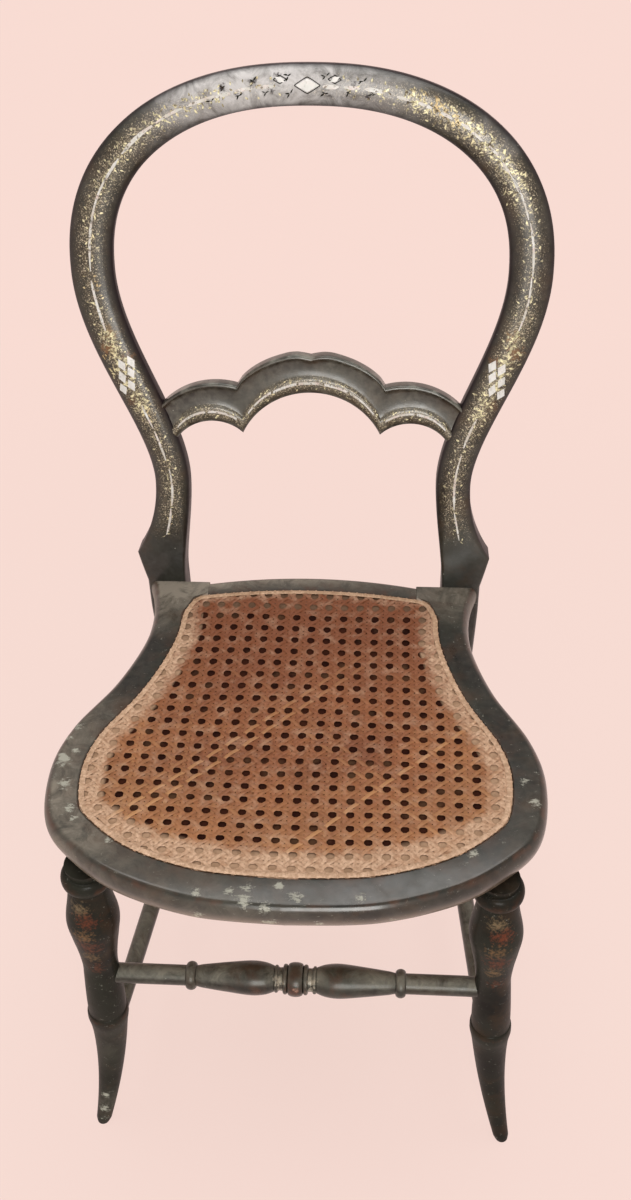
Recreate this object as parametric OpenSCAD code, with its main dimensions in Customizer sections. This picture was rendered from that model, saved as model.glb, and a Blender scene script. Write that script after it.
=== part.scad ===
/* [Seat] */
// Height of the seat frame's top above the floor
seat_height = 425; // [380:1:470]
// Greatest width of the seat frame
seat_width = 434; // [400:1:470]
// Depth of the seat frame from its front edge to the face of the stiles
seat_depth = 394; // [360:1:430]
// Thickness of the seat rails
rail_thickness = 31.5; // [28:0.5:40]
// Width of the painted band between the outer edge and the cane
band_width = 30; // [26:0.5:36]
// Width of the sunk ledge that carries the cane
ledge_width = 22; // [18:0.5:26]
// How far the rear rail bows out between the stiles
rear_bow = 12; // [6:0.5:15]
// Height of the upper round of the seat edge
edge_round_top = 12; // [9:0.5:15]
// Depth of the upper round of the seat edge
edge_round_in = 8; // [5:0.5:11]
// How far the lower round of the seat edge runs in
edge_under = 12.5; // [9:0.5:18]
// Distance of the corner joints behind the front edge
corner_joint_back = 124; // [110:1:140]
/* [Cane] */
// Thickness of the woven cane
cane_thickness = 2.4; // [1.6:0.1:3.2]
// Spacing of the cane's rows and columns
cane_pitch = 16.4; // [15:0.1:20]
// Width across each gap of the cane
cane_gap = 8.4; // [6:0.1:10]
// Width of the binding strip over the cane's edge
binder_width = 4.6; // [3:0.1:6]
// Thickness of the binding strip
binder_thickness = 1; // [0.8:0.1:1.6]
// Diameter of the holes that the cane is pulled through
cane_hole = 5; // [4:0.1:6]
// Distance of those holes from the cane's edge
cane_hole_in = 8; // [6:0.5:10]
// Number of holes along each half of the seat
cane_holes = 32; // [24:1:36]
/* [Back] */
// Lean of the back from upright, in degrees
back_rake = 11; // [6:0.5:16]
// Length of the back from the seat to the top, along its slope
back_length = 491; // [440:1:540]
// Length over which the upright bends into the lean
bend_length = 36; // [20:1:50]
// Greatest outer width of the balloon
balloon_width = 431; // [390:1:460]
// Height of the balloon's widest point above the seat, along the slope
balloon_height = 318; // [290:1:350]
// Outer width at the waist
waist_width = 306; // [280:1:330]
// Height of the waist above the seat, along the slope
waist_height = 111; // [90:1:125]
// Outer width at the shoulders just above the seat
shoulder_width = 350.5; // [335:0.5:370]
// Height of the shoulders above the seat, along the slope
shoulder_height = 34; // [28:1:42]
// Width of the hoop at its top
crest_face = 33.5; // [29:0.5:39]
// Width of the hoop at its widest point
side_face = 39; // [34:0.5:45]
// Width of the hoop at the waist
waist_face = 33; // [28:0.5:38]
// Width of the upright where it passes the seat
block_face = 38.5; // [34:0.5:44]
// Clear distance between the uprights at the seat
upright_gap = 258.5; // [240:0.5:270]
// Thickness of the hoop at its top
crest_thickness = 19; // [16:0.5:24]
// Thickness of the upright where it passes the seat
block_thickness = 30; // [26:0.5:36]
// Depth of the rounding of the hoop's face
crown_depth = 8; // [5:0.5:10]
// Rounding of the hoop's rear edges
rear_round = 5; // [3:0.5:7]
// Angle of the crest joints above the balloon's widest point
crest_joint_angle = 46; // [38:1:56]
/* [Rear legs] */
// How far the rear feet sweep back from the seat
rear_sweep = 72; // [40:1:90]
// Width of the rear foot
rear_foot_face = 29; // [24:0.5:36]
// Thickness of the rear foot
rear_foot_thickness = 25; // [20:0.5:30]
// Rounding of the edges of the rear legs
leg_round = 6; // [4:0.5:8]
/* [Cross rail] */
// Height of the middle arch's top, along the slope
cross_top = 241; // [225:1:255]
// Height of the arch under the middle, along the slope
cross_arch = 203.5; // [192:0.5:212]
// Height of the two points under the rail, along the slope
cross_cusp = 162.5; // [152:0.5:172]
// Distance of the two points from the middle
cusp_out = 65; // [57:0.5:72]
// Height of the arches under the sides, along the slope
cross_side_arch = 174; // [167:1:181]
// Height of the side lobes' tops, along the slope
cross_side_top = 212.5; // [206:0.5:218]
// Distance of the side lobes' tops from the middle
side_lobe_out = 89; // [82:0.5:95]
// Radius of the side lobes
side_lobe_radius = 72; // [62:0.5:82]
// Thickness of the cross rail
cross_thickness = 14; // [11:0.5:17]
// How far the cross rail's face lies behind the hoop's face
cross_set_back = 4; // [3:0.5:6]
// Width of the raised bead along the rail's upper edge
bead_width = 5; // [4:0.5:7]
// Width of the raised band along the rail's lower edge
lower_band = 17.5; // [14:0.5:20]
// Depth of the hollow between the bead and the band
hollow_depth = 2; // [1:0.1:3]
// How far the rail's ends are let into the stiles
housing_depth = 12; // [9:0.5:14]
// Length of the tenon beyond each end of the cross rail
cross_tenon_length = 10; // [7:0.5:12]
/* [Front legs] */
// Distance of the front legs behind the seat's front edge
leg_back = 63; // [54:1:75]
// Outward lean of the front legs, in degrees
leg_lean = 2; // [0:0.5:4]
// Radius of the collar under the seat
collar_radius = 22; // [19:0.5:25]
// Radius of the leg's vase
vase_radius = 23.5; // [20:0.5:27]
// Radius of the neck below the vase
neck_radius = 16; // [14:0.5:18]
// Radius of the ring above the foot
ring_radius = 19.5; // [17:0.5:22]
// Radius of the foot's upper end
foot_radius = 18; // [16:0.5:20]
// Radius of the toe
toe_radius = 7.5; // [6:0.5:10]
// Height of the ring above the floor
ring_height = 169.5; // [155:0.5:185]
// How far the foot curves outward
foot_out = 15.5; // [8:0.5:23]
// How far the foot curves forward
foot_forward = 23; // [12:1:30]
/* [Stretchers] */
// Height of the front stretcher
front_stretcher_height = 231; // [215:1:250]
// Radius of the front stretcher's plain ends
stretcher_end_radius = 9.3; // [8:0.1:11]
// Radius of its rings
stretcher_ring_radius = 13; // [11:0.5:15]
// Radius of its two swellings and its middle bead
stretcher_swell_radius = 15.5; // [13:0.5:18]
// Radius of its necks
stretcher_neck_radius = 10.5; // [8:0.5:12]
// Height of the side stretchers at the front legs
side_stretcher_front_height = 128; // [112:1:148]
// Height of the side stretchers at the rear legs
side_stretcher_rear_height = 110; // [90:1:150]
// Radius of the side stretchers
side_stretcher_radius = 9; // [8:0.5:10]
// Height of the rear stretcher
rear_stretcher_height = 190; // [160:1:230]
// Radius of the rear stretcher
rear_stretcher_radius = 8.5; // [8:0.5:10]
/* [Joints] */
// Radius of the tenons on top of the front legs
leg_tenon_radius = 8; // [7:0.5:9]
// Length of the leg tenons
leg_tenon_length = 22; // [16:0.5:25]
// Radius of the stretchers' tenons
stretcher_tenon_radius = 6; // [5:0.1:7]
// Length of the stretchers' tenons
stretcher_tenon_length = 14; // [10:0.5:18]
// How far the stretchers' bodies are let into the legs
stretcher_seat = 3.5; // [2:0.5:5]
// Diameter of the dowels
dowel_diameter = 8; // [6:0.5:8.5]
// Length of the dowels
dowel_length = 36; // [28:1:44]
// Glue gap round dowels, pegs and tenons
glue_gap = 0.1; // [0.05:0.05:0.2]
/* [Inlay] */
// Width of the pearl line
pearl_width = 3.2; // [2:0.1:4]
// Thickness of the pearl slips
pearl_thickness = 0.6; // [0.5:0.1:0.9]
// Lacquer between the wood and the pearl
lacquer_gap = 0.25; // [0.2:0.05:0.4]
// Width of a pearl diamond
diamond_width = 6.5; // [5:0.5:8]
// Length of a pearl diamond
diamond_length = 12; // [9:0.5:15]
/* [Hidden] */
$fn = 40;
ebony = "#26241f";
pearl = "#e6e2d6";
cane_colour = "#b98a5a";
beech = "#b48a5c";
overrun = 1;

// Blends, smooth steps and smooth curves through points
function mix(a, b, u) = a + (b - a) * u;
function clamp_share(u) = min(max(u, 0), 1);
function ease(u) = let (v = clamp_share(u)) v * v * (3 - 2 * v);
function unit(v) = v / norm(v);
function curve_point(p, i, u) =
    let (
        last = len(p) - 1,
        a = p[max(i - 1, 0)],
        b = p[i],
        c = p[min(i + 1, last)],
        d = p[min(i + 2, last)]
    )
    0.5 * (2 * b + (c - a) * u + (2 * a - 5 * b + 4 * c - d) * u * u + (3 * b - a - 3 * c + d) * u * u * u);
function curve_through(p, steps) = [
    for (i = [0 : len(p) - 2])
        for (k = [0 : steps - 1])
            curve_point(p, i, k / steps),
    p[len(p) - 1]
];
function reversed(p) = [for (i = [len(p) - 1 : -1 : 0]) p[i]];
function mirrored(p) = [for (q = reversed(p)) [-q[0], q[1]]];

// A solid skinned over rings of equally many points
module loft(rings) {
    n = len(rings[0]);
    m = len(rings);
    sides = [
        for (j = [0 : m - 2])
            for (i = [0 : n - 1])
                let (a = j * n + i, b = j * n + (i + 1) % n)
                each [[a, a + n, b + n], [a, b + n, b]]
    ];
    caps = [[for (i = [0 : n - 1]) i], [for (i = [n - 1 : -1 : 0]) (m - 1) * n + i]];
    polyhedron(points = [for (ring = rings) each ring], faces = concat(sides, caps), convexity = 8);
}

// A round bar between two points
module rod(start, end, radius) {
    run = end - start;
    translate(start)
        rotate([0, acos(run[2] / norm(run)), atan2(run[1], run[0])])
            cylinder(r = radius, h = norm(run));
}

// A rounded rectangle, front edge at 0, as points across the width and into the depth
front_steps = 4;
rear_steps = 2;
function arc_points(centre, rx, ry, first, steps) = [
    for (k = [0 : steps])
        let (a = first + 90 * k / steps)
        centre + [rx * cos(a), ry * sin(a)]
];
function section(width, depth, rx, ry, rb) = concat(
    arc_points([width / 2 - rx, ry], rx, ry, -90, front_steps),
    arc_points([width / 2 - rb, depth - rb], rb, rb, 0, rear_steps),
    arc_points([rb - width / 2, depth - rb], rb, rb, 90, rear_steps),
    arc_points([rx - width / 2, ry], rx, ry, 180, front_steps)
);

// The side view of the uprights: distance s runs up the slope from the seat's top,
// and below it s is negative. Depth is measured from the seat's front edge.
underside = seat_height - rail_thickness;
sweep_power = 1.9;
block_round = 3;
function leg_share(s) = clamp_share((-s - rail_thickness) / underside);
function lean_at(s) = back_rake * clamp_share(s / bend_length);
function face_y(s) =
    s >= bend_length ? seat_depth + (s - bend_length / 2) * sin(back_rake)
    : s >= 0 ? seat_depth + s * s / (2 * bend_length) * sin(back_rake)
    : seat_depth + rear_sweep * pow(leg_share(s), sweep_power);
function face_z(s) =
    s >= bend_length ? seat_height + s * cos(back_rake) + bend_length / 2 * (1 - cos(back_rake))
    : s >= 0 ? seat_height + s - s * s / (2 * bend_length) * (1 - cos(back_rake))
    : seat_height + s;
function back_dir(s) = [0, cos(lean_at(s)), -sin(lean_at(s))];
function on_face(p) = [p[0], face_y(p[1]), face_z(p[1])];

// The front view of the hoop. Its path value runs from -1 at the shoulder, by 0 at the
// waist and 1 at the widest point, to 2 at the middle of the top and on down the far side.
hoop_power = 2.265;
waist_power = 0.93;
shoulder_power = 2.2;
upright_in = upright_gap / 2;
spine_out = balloon_width / 2 - side_face / 2;
spine_rise = back_length - crest_face / 2 - balloon_height;
waist_out = waist_width / 2 - waist_face / 2;
function path_s(v) = mix(waist_height, balloon_height, v);
function lower_x(s) = mix(waist_out, spine_out,
    ease(pow(clamp_share((s - waist_height) / (balloon_height - waist_height)), waist_power)));
slope_step = 1;
function lower_slope(s) = (lower_x(s + slope_step) - lower_x(s - slope_step)) / (2 * slope_step);
function face_width(v) = v < 1
    ? mix(waist_face, side_face, ease(v))
    : mix(side_face, crest_face, ease(v - 1));
function upper_spine(a) = [
    spine_out * pow(max(cos(a), 0), 2 / hoop_power),
    balloon_height + spine_rise * pow(max(sin(a), 0), 2 / hoop_power)
];
function upper_normal(a) = unit([
    pow(max(cos(a), 0), 2 - 2 / hoop_power) / spine_out,
    pow(max(sin(a), 0), 2 - 2 / hoop_power) / spine_rise
]);
function shoulder_edges(s) =
    let (
        rise = (s - shoulder_height) / (waist_height - shoulder_height),
        out = s < shoulder_height
            ? mix(upright_in + block_face, shoulder_width / 2, s / shoulder_height)
            : waist_width / 2 + (shoulder_width - waist_width) / 2 * pow(max(1 - rise, 0), shoulder_power)
    )
    [[out, s], [mix(upright_in, waist_width / 2 - waist_face, ease(s / waist_height)), s]];
function half_edges(v) =
    v < 0 ? shoulder_edges(mix(shoulder_height, waist_height, v + 1))
    : let (
        centre = v < 1 ? [lower_x(path_s(v)), path_s(v)] : upper_spine(90 * (v - 1)),
        side = v < 1 ? unit([1, -lower_slope(path_s(v))]) : upper_normal(90 * (v - 1)),
        half = side * face_width(v) / 2
    ) [centre + half, centre - half];
function flipped(edges) = [for (p = edges) [-p[0], p[1]]];
function hoop_edges(v) = v > 2 ? flipped(half_edges(4 - v)) : half_edges(v);
function hoop_thickness(s) = mix(block_thickness, crest_thickness, ease(s / balloon_height));
crown_share = 0.46;

// One ring of the hoop: edges, depth and the three roundings
function ring_on(edges, depth, rx, ry, rb) =
    let (
        outer = on_face(edges[0]),
        inner = on_face(edges[1]),
        across = unit(outer - inner),
        middle = (outer + inner) / 2,
        back = back_dir(edges[0][1])
    )
    [for (q = section(norm(outer - inner), depth, rx, ry, rb)) middle + across * q[0] + back * q[1]];
function hoop_ring(v) =
    let (
        edges = hoop_edges(v),
        s = min(edges[0][1], edges[1][1]),
        width = norm(edges[0] - edges[1]),
        round_share = ease((s - shoulder_height) / (waist_height - shoulder_height))
    )
    ring_on(edges, hoop_thickness(s), mix(block_round, crown_share * width, round_share),
        mix(block_round, crown_depth, round_share), mix(block_round, rear_round, round_share));
function block_ring(s) =
    ring_on(shoulder_edges(s), hoop_thickness(s), block_round, block_round, block_round);
function leg_face(s) = mix(block_face, rear_foot_face, leg_share(s));
function leg_depth(s) = mix(block_thickness, rear_foot_thickness, leg_share(s));
function leg_ring(s) =
    let (round_by = mix(block_round, leg_round, ease(4 * leg_share(s))))
    ring_on([[upright_in + leg_face(s), s], [upright_in, s]], leg_depth(s), round_by, round_by, round_by);
overall_depth = max([for (p = hoop_ring(2)) p[1]]);
module centred() {
    translate([0, -overall_depth / 2, 0]) children();
}

// Stiles: rear leg, block at the seat and half of the hoop, sawn from one plank
leg_steps = 12;
block_steps = 3;
shoulder_steps = 8;
lower_steps = 13;
upper_steps = 8;
crest_joint = 1 + crest_joint_angle / 90;
module stile_blank() {
    loft(concat(
        [for (i = [0 : leg_steps]) leg_ring(mix(-seat_height, -rail_thickness, i / leg_steps))],
        [for (i = [0 : block_steps - 1]) block_ring(shoulder_height * i / block_steps)],
        [for (i = [0 : shoulder_steps - 1]) hoop_ring(i / shoulder_steps - 1)],
        [for (i = [0 : lower_steps - 1]) hoop_ring(i / lower_steps)],
        [for (i = [0 : upper_steps]) hoop_ring(mix(1, crest_joint, i / upper_steps))]
    ));
}

// Crest dowels: two across each joint, set along the hoop's path
joint_edges = hoop_edges(crest_joint);
joint_across = unit(on_face(joint_edges[0]) - on_face(joint_edges[1]));
joint_along = cross(joint_across, back_dir(back_length));
joint_middle = on_face((joint_edges[0] + joint_edges[1]) / 2)
    + back_dir(back_length) * hoop_thickness(joint_edges[1][1]) / 2;
dowel_spacing = 2 * dowel_diameter;
module crest_joint_rods(radius, length) {
    for (side = [-1, 1]) {
        middle = joint_middle + joint_across * side * dowel_spacing / 2;
        rod(middle - joint_along * length / 2, middle + joint_along * length / 2, radius);
    }
}

// Dowels from the side rails into the stiles, one above the other
stile_dowel_out = upright_in + block_face / 2;
dowel_level = seat_height - rail_thickness / 2;
module stile_joint_rods(radius, length) {
    for (side = [-1, 1])
        translate([stile_dowel_out, seat_depth, dowel_level + side * dowel_spacing * 0.44])
            rotate([90, 0, 0])
                cylinder(r = radius, h = length, center = true);
}

// Sockets and tenons of the stretchers. The side stretchers meet the curved feet.
leg_out_share = 0.8;
leg_out = seat_width / 2 * leg_out_share;
ring_half = ring_radius * 0.32;
foot_top = ring_height - ring_half;
foot_power = 2;
function foot_down(z) = max(1 - z / foot_top, 0);
function foot_radius_at(z) = mix(foot_radius, toe_radius, foot_down(z));
function foot_bend(z) = pow(foot_down(z), foot_power);
function leg_axis(z) = [leg_out + (underside - z) * tan(leg_lean), leg_back, z];
function rear_axis(z) = [
    upright_in + leg_face(z - seat_height) / 2,
    face_y(z - seat_height) + leg_depth(z - seat_height) / 2,
    z
];
side_start = leg_axis(side_stretcher_front_height);
side_end = rear_axis(side_stretcher_rear_height);
side_dir = unit(side_end - side_start);
side_body_start = side_start + side_dir * (foot_radius_at(side_stretcher_front_height)
    - foot_forward * foot_bend(side_stretcher_front_height) - stretcher_seat);
side_body_end = side_end - side_dir * (rear_foot_thickness / 2 - stretcher_seat);
front_leg_out = leg_axis(front_stretcher_height)[0];
front_body_half = front_leg_out - neck_radius + stretcher_seat;
rear_middle = rear_axis(rear_stretcher_height);
rear_body_half = upright_in + stretcher_seat;
// Body and tenons of the right side stretcher, grown by a gap for the sockets
module side_stretcher_solid(gap) {
    rod(side_body_start - side_dir * gap, side_body_end + side_dir * gap, side_stretcher_radius + gap);
    rod(side_body_start - side_dir * (stretcher_tenon_length / 2 + gap),
        side_body_end + side_dir * (stretcher_tenon_length / 2 + gap), stretcher_tenon_radius + gap);
}
module rear_stretcher_solid(gap) {
    translate([0, rear_middle[1], rear_middle[2]])
        rotate([0, 90, 0]) {
            cylinder(r = rear_stretcher_radius + gap, h = 2 * (rear_body_half + gap), center = true);
            cylinder(r = stretcher_tenon_radius + gap,
                h = 2 * (rear_body_half + stretcher_tenon_length + gap), center = true);
        }
}
module front_stretcher_ends(gap) {
    translate([0, leg_back, front_stretcher_height])
        rotate([0, 90, 0]) {
            cylinder(r = stretcher_end_radius + gap, h = 2 * (front_body_half + gap), center = true);
            cylinder(r = stretcher_tenon_radius + gap,
                h = 2 * (front_body_half + stretcher_tenon_length + gap), center = true);
        }
}

// Cross rail, drawn in the plane of the back: across, into the depth, up the slope
module on_back() {
    translate([0, seat_depth - bend_length / 2 * sin(back_rake),
        seat_height + bend_length / 2 * (1 - cos(back_rake))])
        rotate([-back_rake, 0, 0])
            children();
}
valley_out = cusp_out + lower_band / 4;
function lobe(x) = cross_side_top - side_lobe_radius
    + sqrt(max(pow(side_lobe_radius, 2) - pow(x - side_lobe_out, 2), 0));
middle_rise = cross_top - lobe(valley_out);
middle_lobe_shares = [
    [0, 0.92], [0.1, 0.965], [0.2, 0.985], [0.34, 0.94], [0.58, 0.755], [0.78, 0.51], [0.93, 0.23], [1, 0]
];
middle_lobe = curve_through(
    [for (q = middle_lobe_shares) [q[0] * valley_out, lobe(valley_out) + q[1] * middle_rise]], 4);
function upper_edge(x) = x < valley_out ? lookup(x, middle_lobe) : lobe(x);
function arch_radius(half, rise) = (half * half + rise * rise) / (2 * rise);
middle_arch_radius = arch_radius(cusp_out, cross_arch - cross_cusp);
side_arch_out = side_lobe_out + bead_width;
side_arch_radius = arch_radius(side_arch_out - cusp_out, cross_side_arch - cross_cusp);
// Past this distance the lower edge stays level, inside the stiles
arch_limit = side_arch_out + side_arch_radius * 0.9;
function lower_edge(x) = x < cusp_out
    ? cross_arch - middle_arch_radius + sqrt(pow(middle_arch_radius, 2) - x * x)
    : cross_side_arch - side_arch_radius
        + sqrt(pow(side_arch_radius, 2) - pow(min(x, arch_limit) - side_arch_out, 2));
function stile_inner(s) = lower_x(s) - face_width((s - waist_height) / (balloon_height - waist_height)) / 2;
rail_end = stile_inner(cross_side_arch) + housing_depth;
cross_front = cross_set_back;
cross_back = cross_set_back + cross_thickness;
// Bead and band narrow where the rail's hidden ends taper
bead_limit_share = 0.15;
band_limit_share = 0.5;
// The band's most forward line, as a share of its height
band_crest_share = 0.6;
function cross_section(x) =
    let (
        lo = lower_edge(abs(x)),
        hi = upper_edge(abs(x)),
        bead = min(bead_width, bead_limit_share * (hi - lo)),
        band = min(lower_band, band_limit_share * (hi - lo)),
        hollow_lo = lo + band,
        hollow_hi = hi - bead * 1.2
    )
    [
        [cross_back, hi - hollow_depth],
        [cross_back - hollow_depth, hi],
        [cross_front + hollow_depth * 1.2, hi],
        [cross_front + hollow_depth * 0.4, hi - bead * 0.1],
        [cross_front, hi - bead * 0.5],
        [cross_front + hollow_depth * 0.2, hi - bead * 0.8],
        [cross_front + hollow_depth, hollow_hi],
        [cross_front + hollow_depth * 1.3, (hollow_lo + hollow_hi) / 2],
        [cross_front + hollow_depth, hollow_lo],
        [cross_front + hollow_depth * 0.2, lo + band * 0.84],
        [cross_front, lo + band * band_crest_share],
        [cross_front + hollow_depth * 0.5, lo + band * 0.24],
        [cross_front + hollow_depth * 1.6, lo],
        [cross_back, lo]
    ];
function cross_ring(x) = [for (q = cross_section(x)) [x, q[0], q[1]]];
// The tenons are the rail's end section made smaller about its middle
cross_tenon_share = 0.6;
function cross_tenon_ring(x) =
    let (
        end = cross_section(rail_end),
        middle = [cross_front + cross_thickness / 2, (end[0][1] + end[len(end) - 1][1]) / 2]
    )
    [for (q = end) let (p = mix(middle, q, cross_tenon_share)) [x, p[0], p[1]]];
cross_steps = 9;
middle_steps = 11;
cross_half_xs = concat(
    [for (i = [0 : middle_steps - 1]) cusp_out * i / middle_steps],
    [cusp_out, valley_out],
    [for (i = [1 : cross_steps]) mix(valley_out, rail_end, i / cross_steps)]
);
cross_xs = concat(
    [for (x = reversed(cross_half_xs)) -x],
    [for (i = [1 : len(cross_half_xs) - 1]) cross_half_xs[i]]
);
module cross_rail_solid() {
    tenon_end = rail_end + cross_tenon_length;
    on_back()
        loft(concat(
            [cross_tenon_ring(-tenon_end), cross_tenon_ring(-rail_end)],
            [for (x = cross_xs) cross_ring(x)],
            [cross_tenon_ring(rail_end), cross_tenon_ring(tenon_end)]
        ));
}

// Seat outline from the front's middle, round the right corner, to behind the stile's face
seat_outline_shares = [
    [0, 0], [0.345, 0.013], [0.647, 0.066], [0.85, 0.143], [0.966, 0.226], [0.9975, 0.3675],
    [0.947, 0.49], [0.818, 0.627], [0.739, 0.757], [0.716, 0.852], [0.735, 0.95], [0.8, 1.06]
];
outline_steps = 5;
seat_half = curve_through(
    [for (q = seat_outline_shares) [q[0] * seat_width / 2, q[1] * seat_depth]], outline_steps);
function inward(i) =
    let (
        a = i == 0 ? [-seat_half[1][0], seat_half[1][1]] : seat_half[i - 1],
        b = seat_half[min(i + 1, len(seat_half) - 1)],
        t = unit(b - a)
    )
    [-t[1], t[0]];
function inset_half(d) = [for (i = [0 : len(seat_half) - 1]) seat_half[i] + inward(i) * d];
function joined(half) =
    let (last = len(half) - (half[len(half) - 1][0] == 0 ? 2 : 1))
    concat(half, mirrored([for (i = [1 : last]) half[i]]));
edge_steps = 4;
edge_profile = concat(
    [for (k = [0 : edge_steps])
        let (a = 90 * k / edge_steps)
        [edge_round_in * (1 - sin(a)), seat_height - edge_round_top * (1 - cos(a))]],
    [for (k = [1 : edge_steps])
        let (a = 90 * k / edge_steps, drop = edge_round_top + (rail_thickness - edge_round_top) * sin(a))
        [edge_under * (1 - cos(a)), seat_height - drop]]
);
module seat_blank() {
    loft([for (e = reversed(edge_profile)) [for (p = joined(inset_half(e[0]))) [p[0], p[1], e[1]]]]);
}

// Opening and sunk ledge. Both stop at the rear rail.
cane_rear = seat_depth - band_width * 0.8;
cane_bow = rear_bow * 1.2;
opening_rear = cane_rear + cane_bow * 0.6 - ledge_width;
function before(half, y) = [for (p = half) if (p[1] < y) p];
opening_side = before(inset_half(band_width + ledge_width), opening_rear);
rear_joint_out = opening_side[len(opening_side) - 1][0];
opening_half = concat(opening_side, [[rear_joint_out, opening_rear]]);
rear_arc_steps = 5;
function ledge_half(d) =
    let (
        side = before(inset_half(band_width + d), cane_rear - ledge_width),
        corner = side[len(side) - 1],
        rear = cane_rear - d
    )
    concat(side, [for (k = [0 : rear_arc_steps])
        let (x = (corner[0] - ledge_width * 0.4) * (1 - k / rear_arc_steps))
        [x, rear + cane_bow * (1 - pow(x / corner[0], 2))]]);
module outline_plate(half, thickness) {
    linear_extrude(thickness) polygon(joined(half));
}

// Holes that the cane is pulled through
cane_line = ledge_half(cane_hole_in);
cane_line_run = [for (
    i = 0, total = 0;
    i < len(cane_line);
    i = i + 1, total = total + (i < len(cane_line) ? norm(cane_line[i] - cane_line[i - 1]) : 0)
) total];
function at_run(d) = [
    lookup(d, [for (i = [0 : len(cane_line) - 1]) [cane_line_run[i], cane_line[i][0]]]),
    lookup(d, [for (i = [0 : len(cane_line) - 1]) [cane_line_run[i], cane_line[i][1]]])
];
cane_line_length = cane_line_run[len(cane_line_run) - 1];
cane_hole_places = [for (i = [0 : cane_holes - 1]) at_run(cane_line_length * (i + 0.5) / cane_holes)];
module cane_bores(places) {
    for (p = places)
        translate([p[0], p[1], underside - overrun])
            cylinder(r = cane_hole / 2, h = rail_thickness + 2 * overrun);
}

// Dowels of the seat frame's corners
function outline_x(y) = lookup(y, [for (p = seat_half) [p[1], p[0]]]);
corner_dowel_in = band_width * 0.44;
front_dowel_step = dowel_diameter * 1.65;
rear_dowel_step = dowel_diameter * 1.25;
rear_dowel_in = dowel_diameter * 0.85;
module front_corner_rods(radius, length) {
    for (k = [0, 1])
        translate([outline_x(corner_joint_back) - corner_dowel_in - k * front_dowel_step,
            corner_joint_back, dowel_level])
            rotate([90, 0, 0])
                cylinder(r = radius, h = length, center = true);
}
module rear_corner_rods(radius, length) {
    for (k = [0, 1])
        translate([rear_joint_out, seat_depth - rear_dowel_in - k * rear_dowel_step, dowel_level])
            rotate([0, 90, 0])
                cylinder(r = radius, h = length, center = true);
}
dowel_radius = dowel_diameter / 2;
bore_radius = dowel_radius + glue_gap;
bore_length = dowel_length + 2 * glue_gap;
module both_sides() {
    children();
    mirror([1, 0, 0]) children();
}

// Stiles
module stile() {
    color(ebony)
        centred()
            difference() {
                stile_blank();
                cross_rail_solid();
                crest_joint_rods(bore_radius, bore_length);
                stile_joint_rods(bore_radius, bore_length);
                side_stretcher_solid(glue_gap);
                rear_stretcher_solid(glue_gap);
            }
}
module right_stile() {
    stile();
}
module left_stile() {
    mirror([1, 0, 0]) stile();
}

// Crest rail, from joint to joint over the top
crest_steps = 36;
module crest_rail() {
    color(ebony)
        centred()
            difference() {
                loft([for (i = [0 : crest_steps])
                    hoop_ring(mix(crest_joint, 4 - crest_joint, i / crest_steps))]);
                both_sides() crest_joint_rods(bore_radius, bore_length);
            }
}
module crest_dowels() {
    color(beech)
        centred()
            both_sides()
                crest_joint_rods(dowel_radius, dowel_length);
}

// Cross rail
module cross_rail() {
    color(ebony)
        centred()
            cross_rail_solid();
}

// Seat rails
module seat_hollow() {
    translate([0, 0, underside - overrun])
        outline_plate(opening_half, rail_thickness + 2 * overrun);
    translate([0, 0, seat_height - cane_thickness])
        outline_plate(ledge_half(0), cane_thickness + overrun);
}
module front_seat_rail() {
    color(ebony)
        centred()
            difference() {
                seat_blank();
                seat_hollow();
                translate([-seat_width, corner_joint_back, 0])
                    cube([2 * seat_width, seat_depth, seat_height + overrun]);
                both_sides() {
                    front_corner_rods(bore_radius, bore_length);
                    leg_tenon(glue_gap);
                    cane_bores([for (p = cane_hole_places) if (p[1] < corner_joint_back + cane_hole) p]);
                }
            }
}
module side_seat_rail() {
    color(ebony)
        centred()
            difference() {
                seat_blank();
                seat_hollow();
                translate([-seat_width, -overrun, 0])
                    cube([2 * seat_width, corner_joint_back + overrun, seat_height + overrun]);
                translate([-seat_width, -overrun, 0])
                    cube([seat_width, seat_depth * 2, seat_height + overrun]);
                translate([-seat_width, seat_depth, 0])
                    cube([2 * seat_width, seat_depth, seat_height + overrun]);
                translate([-overrun, opening_rear - overrun, 0])
                    cube([rear_joint_out + overrun, seat_depth, seat_height + overrun]);
                front_corner_rods(bore_radius, bore_length);
                rear_corner_rods(bore_radius, bore_length);
                stile_joint_rods(bore_radius, bore_length);
                cane_bores([for (p = cane_hole_places)
                    if (p[1] > corner_joint_back - cane_hole && p[0] > rear_joint_out - cane_hole) p]);
            }
}
module right_seat_rail() {
    side_seat_rail();
}
module left_seat_rail() {
    mirror([1, 0, 0]) side_seat_rail();
}
rear_rail_steps = 14;
function rear_edge(x) = seat_depth + rear_bow * (1 - pow(x / rear_joint_out, 2));
function rear_rail_ring(x) =
    let (back = rear_edge(x))
    [for (q = concat(
        [[opening_rear, underside]],
        arc_points([back - rear_round, underside + rear_round], rear_round, rear_round, -90, edge_steps),
        arc_points([back - rear_round, seat_height - rear_round], rear_round, rear_round, 0, edge_steps),
        [[opening_rear, seat_height]]
    )) [x, q[0], q[1]]];
module rear_seat_rail() {
    color(ebony)
        centred()
            difference() {
                loft([for (i = [0 : rear_rail_steps])
                    rear_rail_ring(mix(-rear_joint_out, rear_joint_out, i / rear_rail_steps))]);
                seat_hollow();
                both_sides() {
                    rear_corner_rods(bore_radius, bore_length);
                    cane_bores([for (p = cane_hole_places)
                        if (p[1] > opening_rear && p[0] < rear_joint_out + cane_hole) p]);
                }
            }
}
module seat_corner_dowels() {
    color(beech)
        centred()
            both_sides() {
                front_corner_rods(dowel_radius, dowel_length);
                rear_corner_rods(dowel_radius, dowel_length);
            }
}
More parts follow.
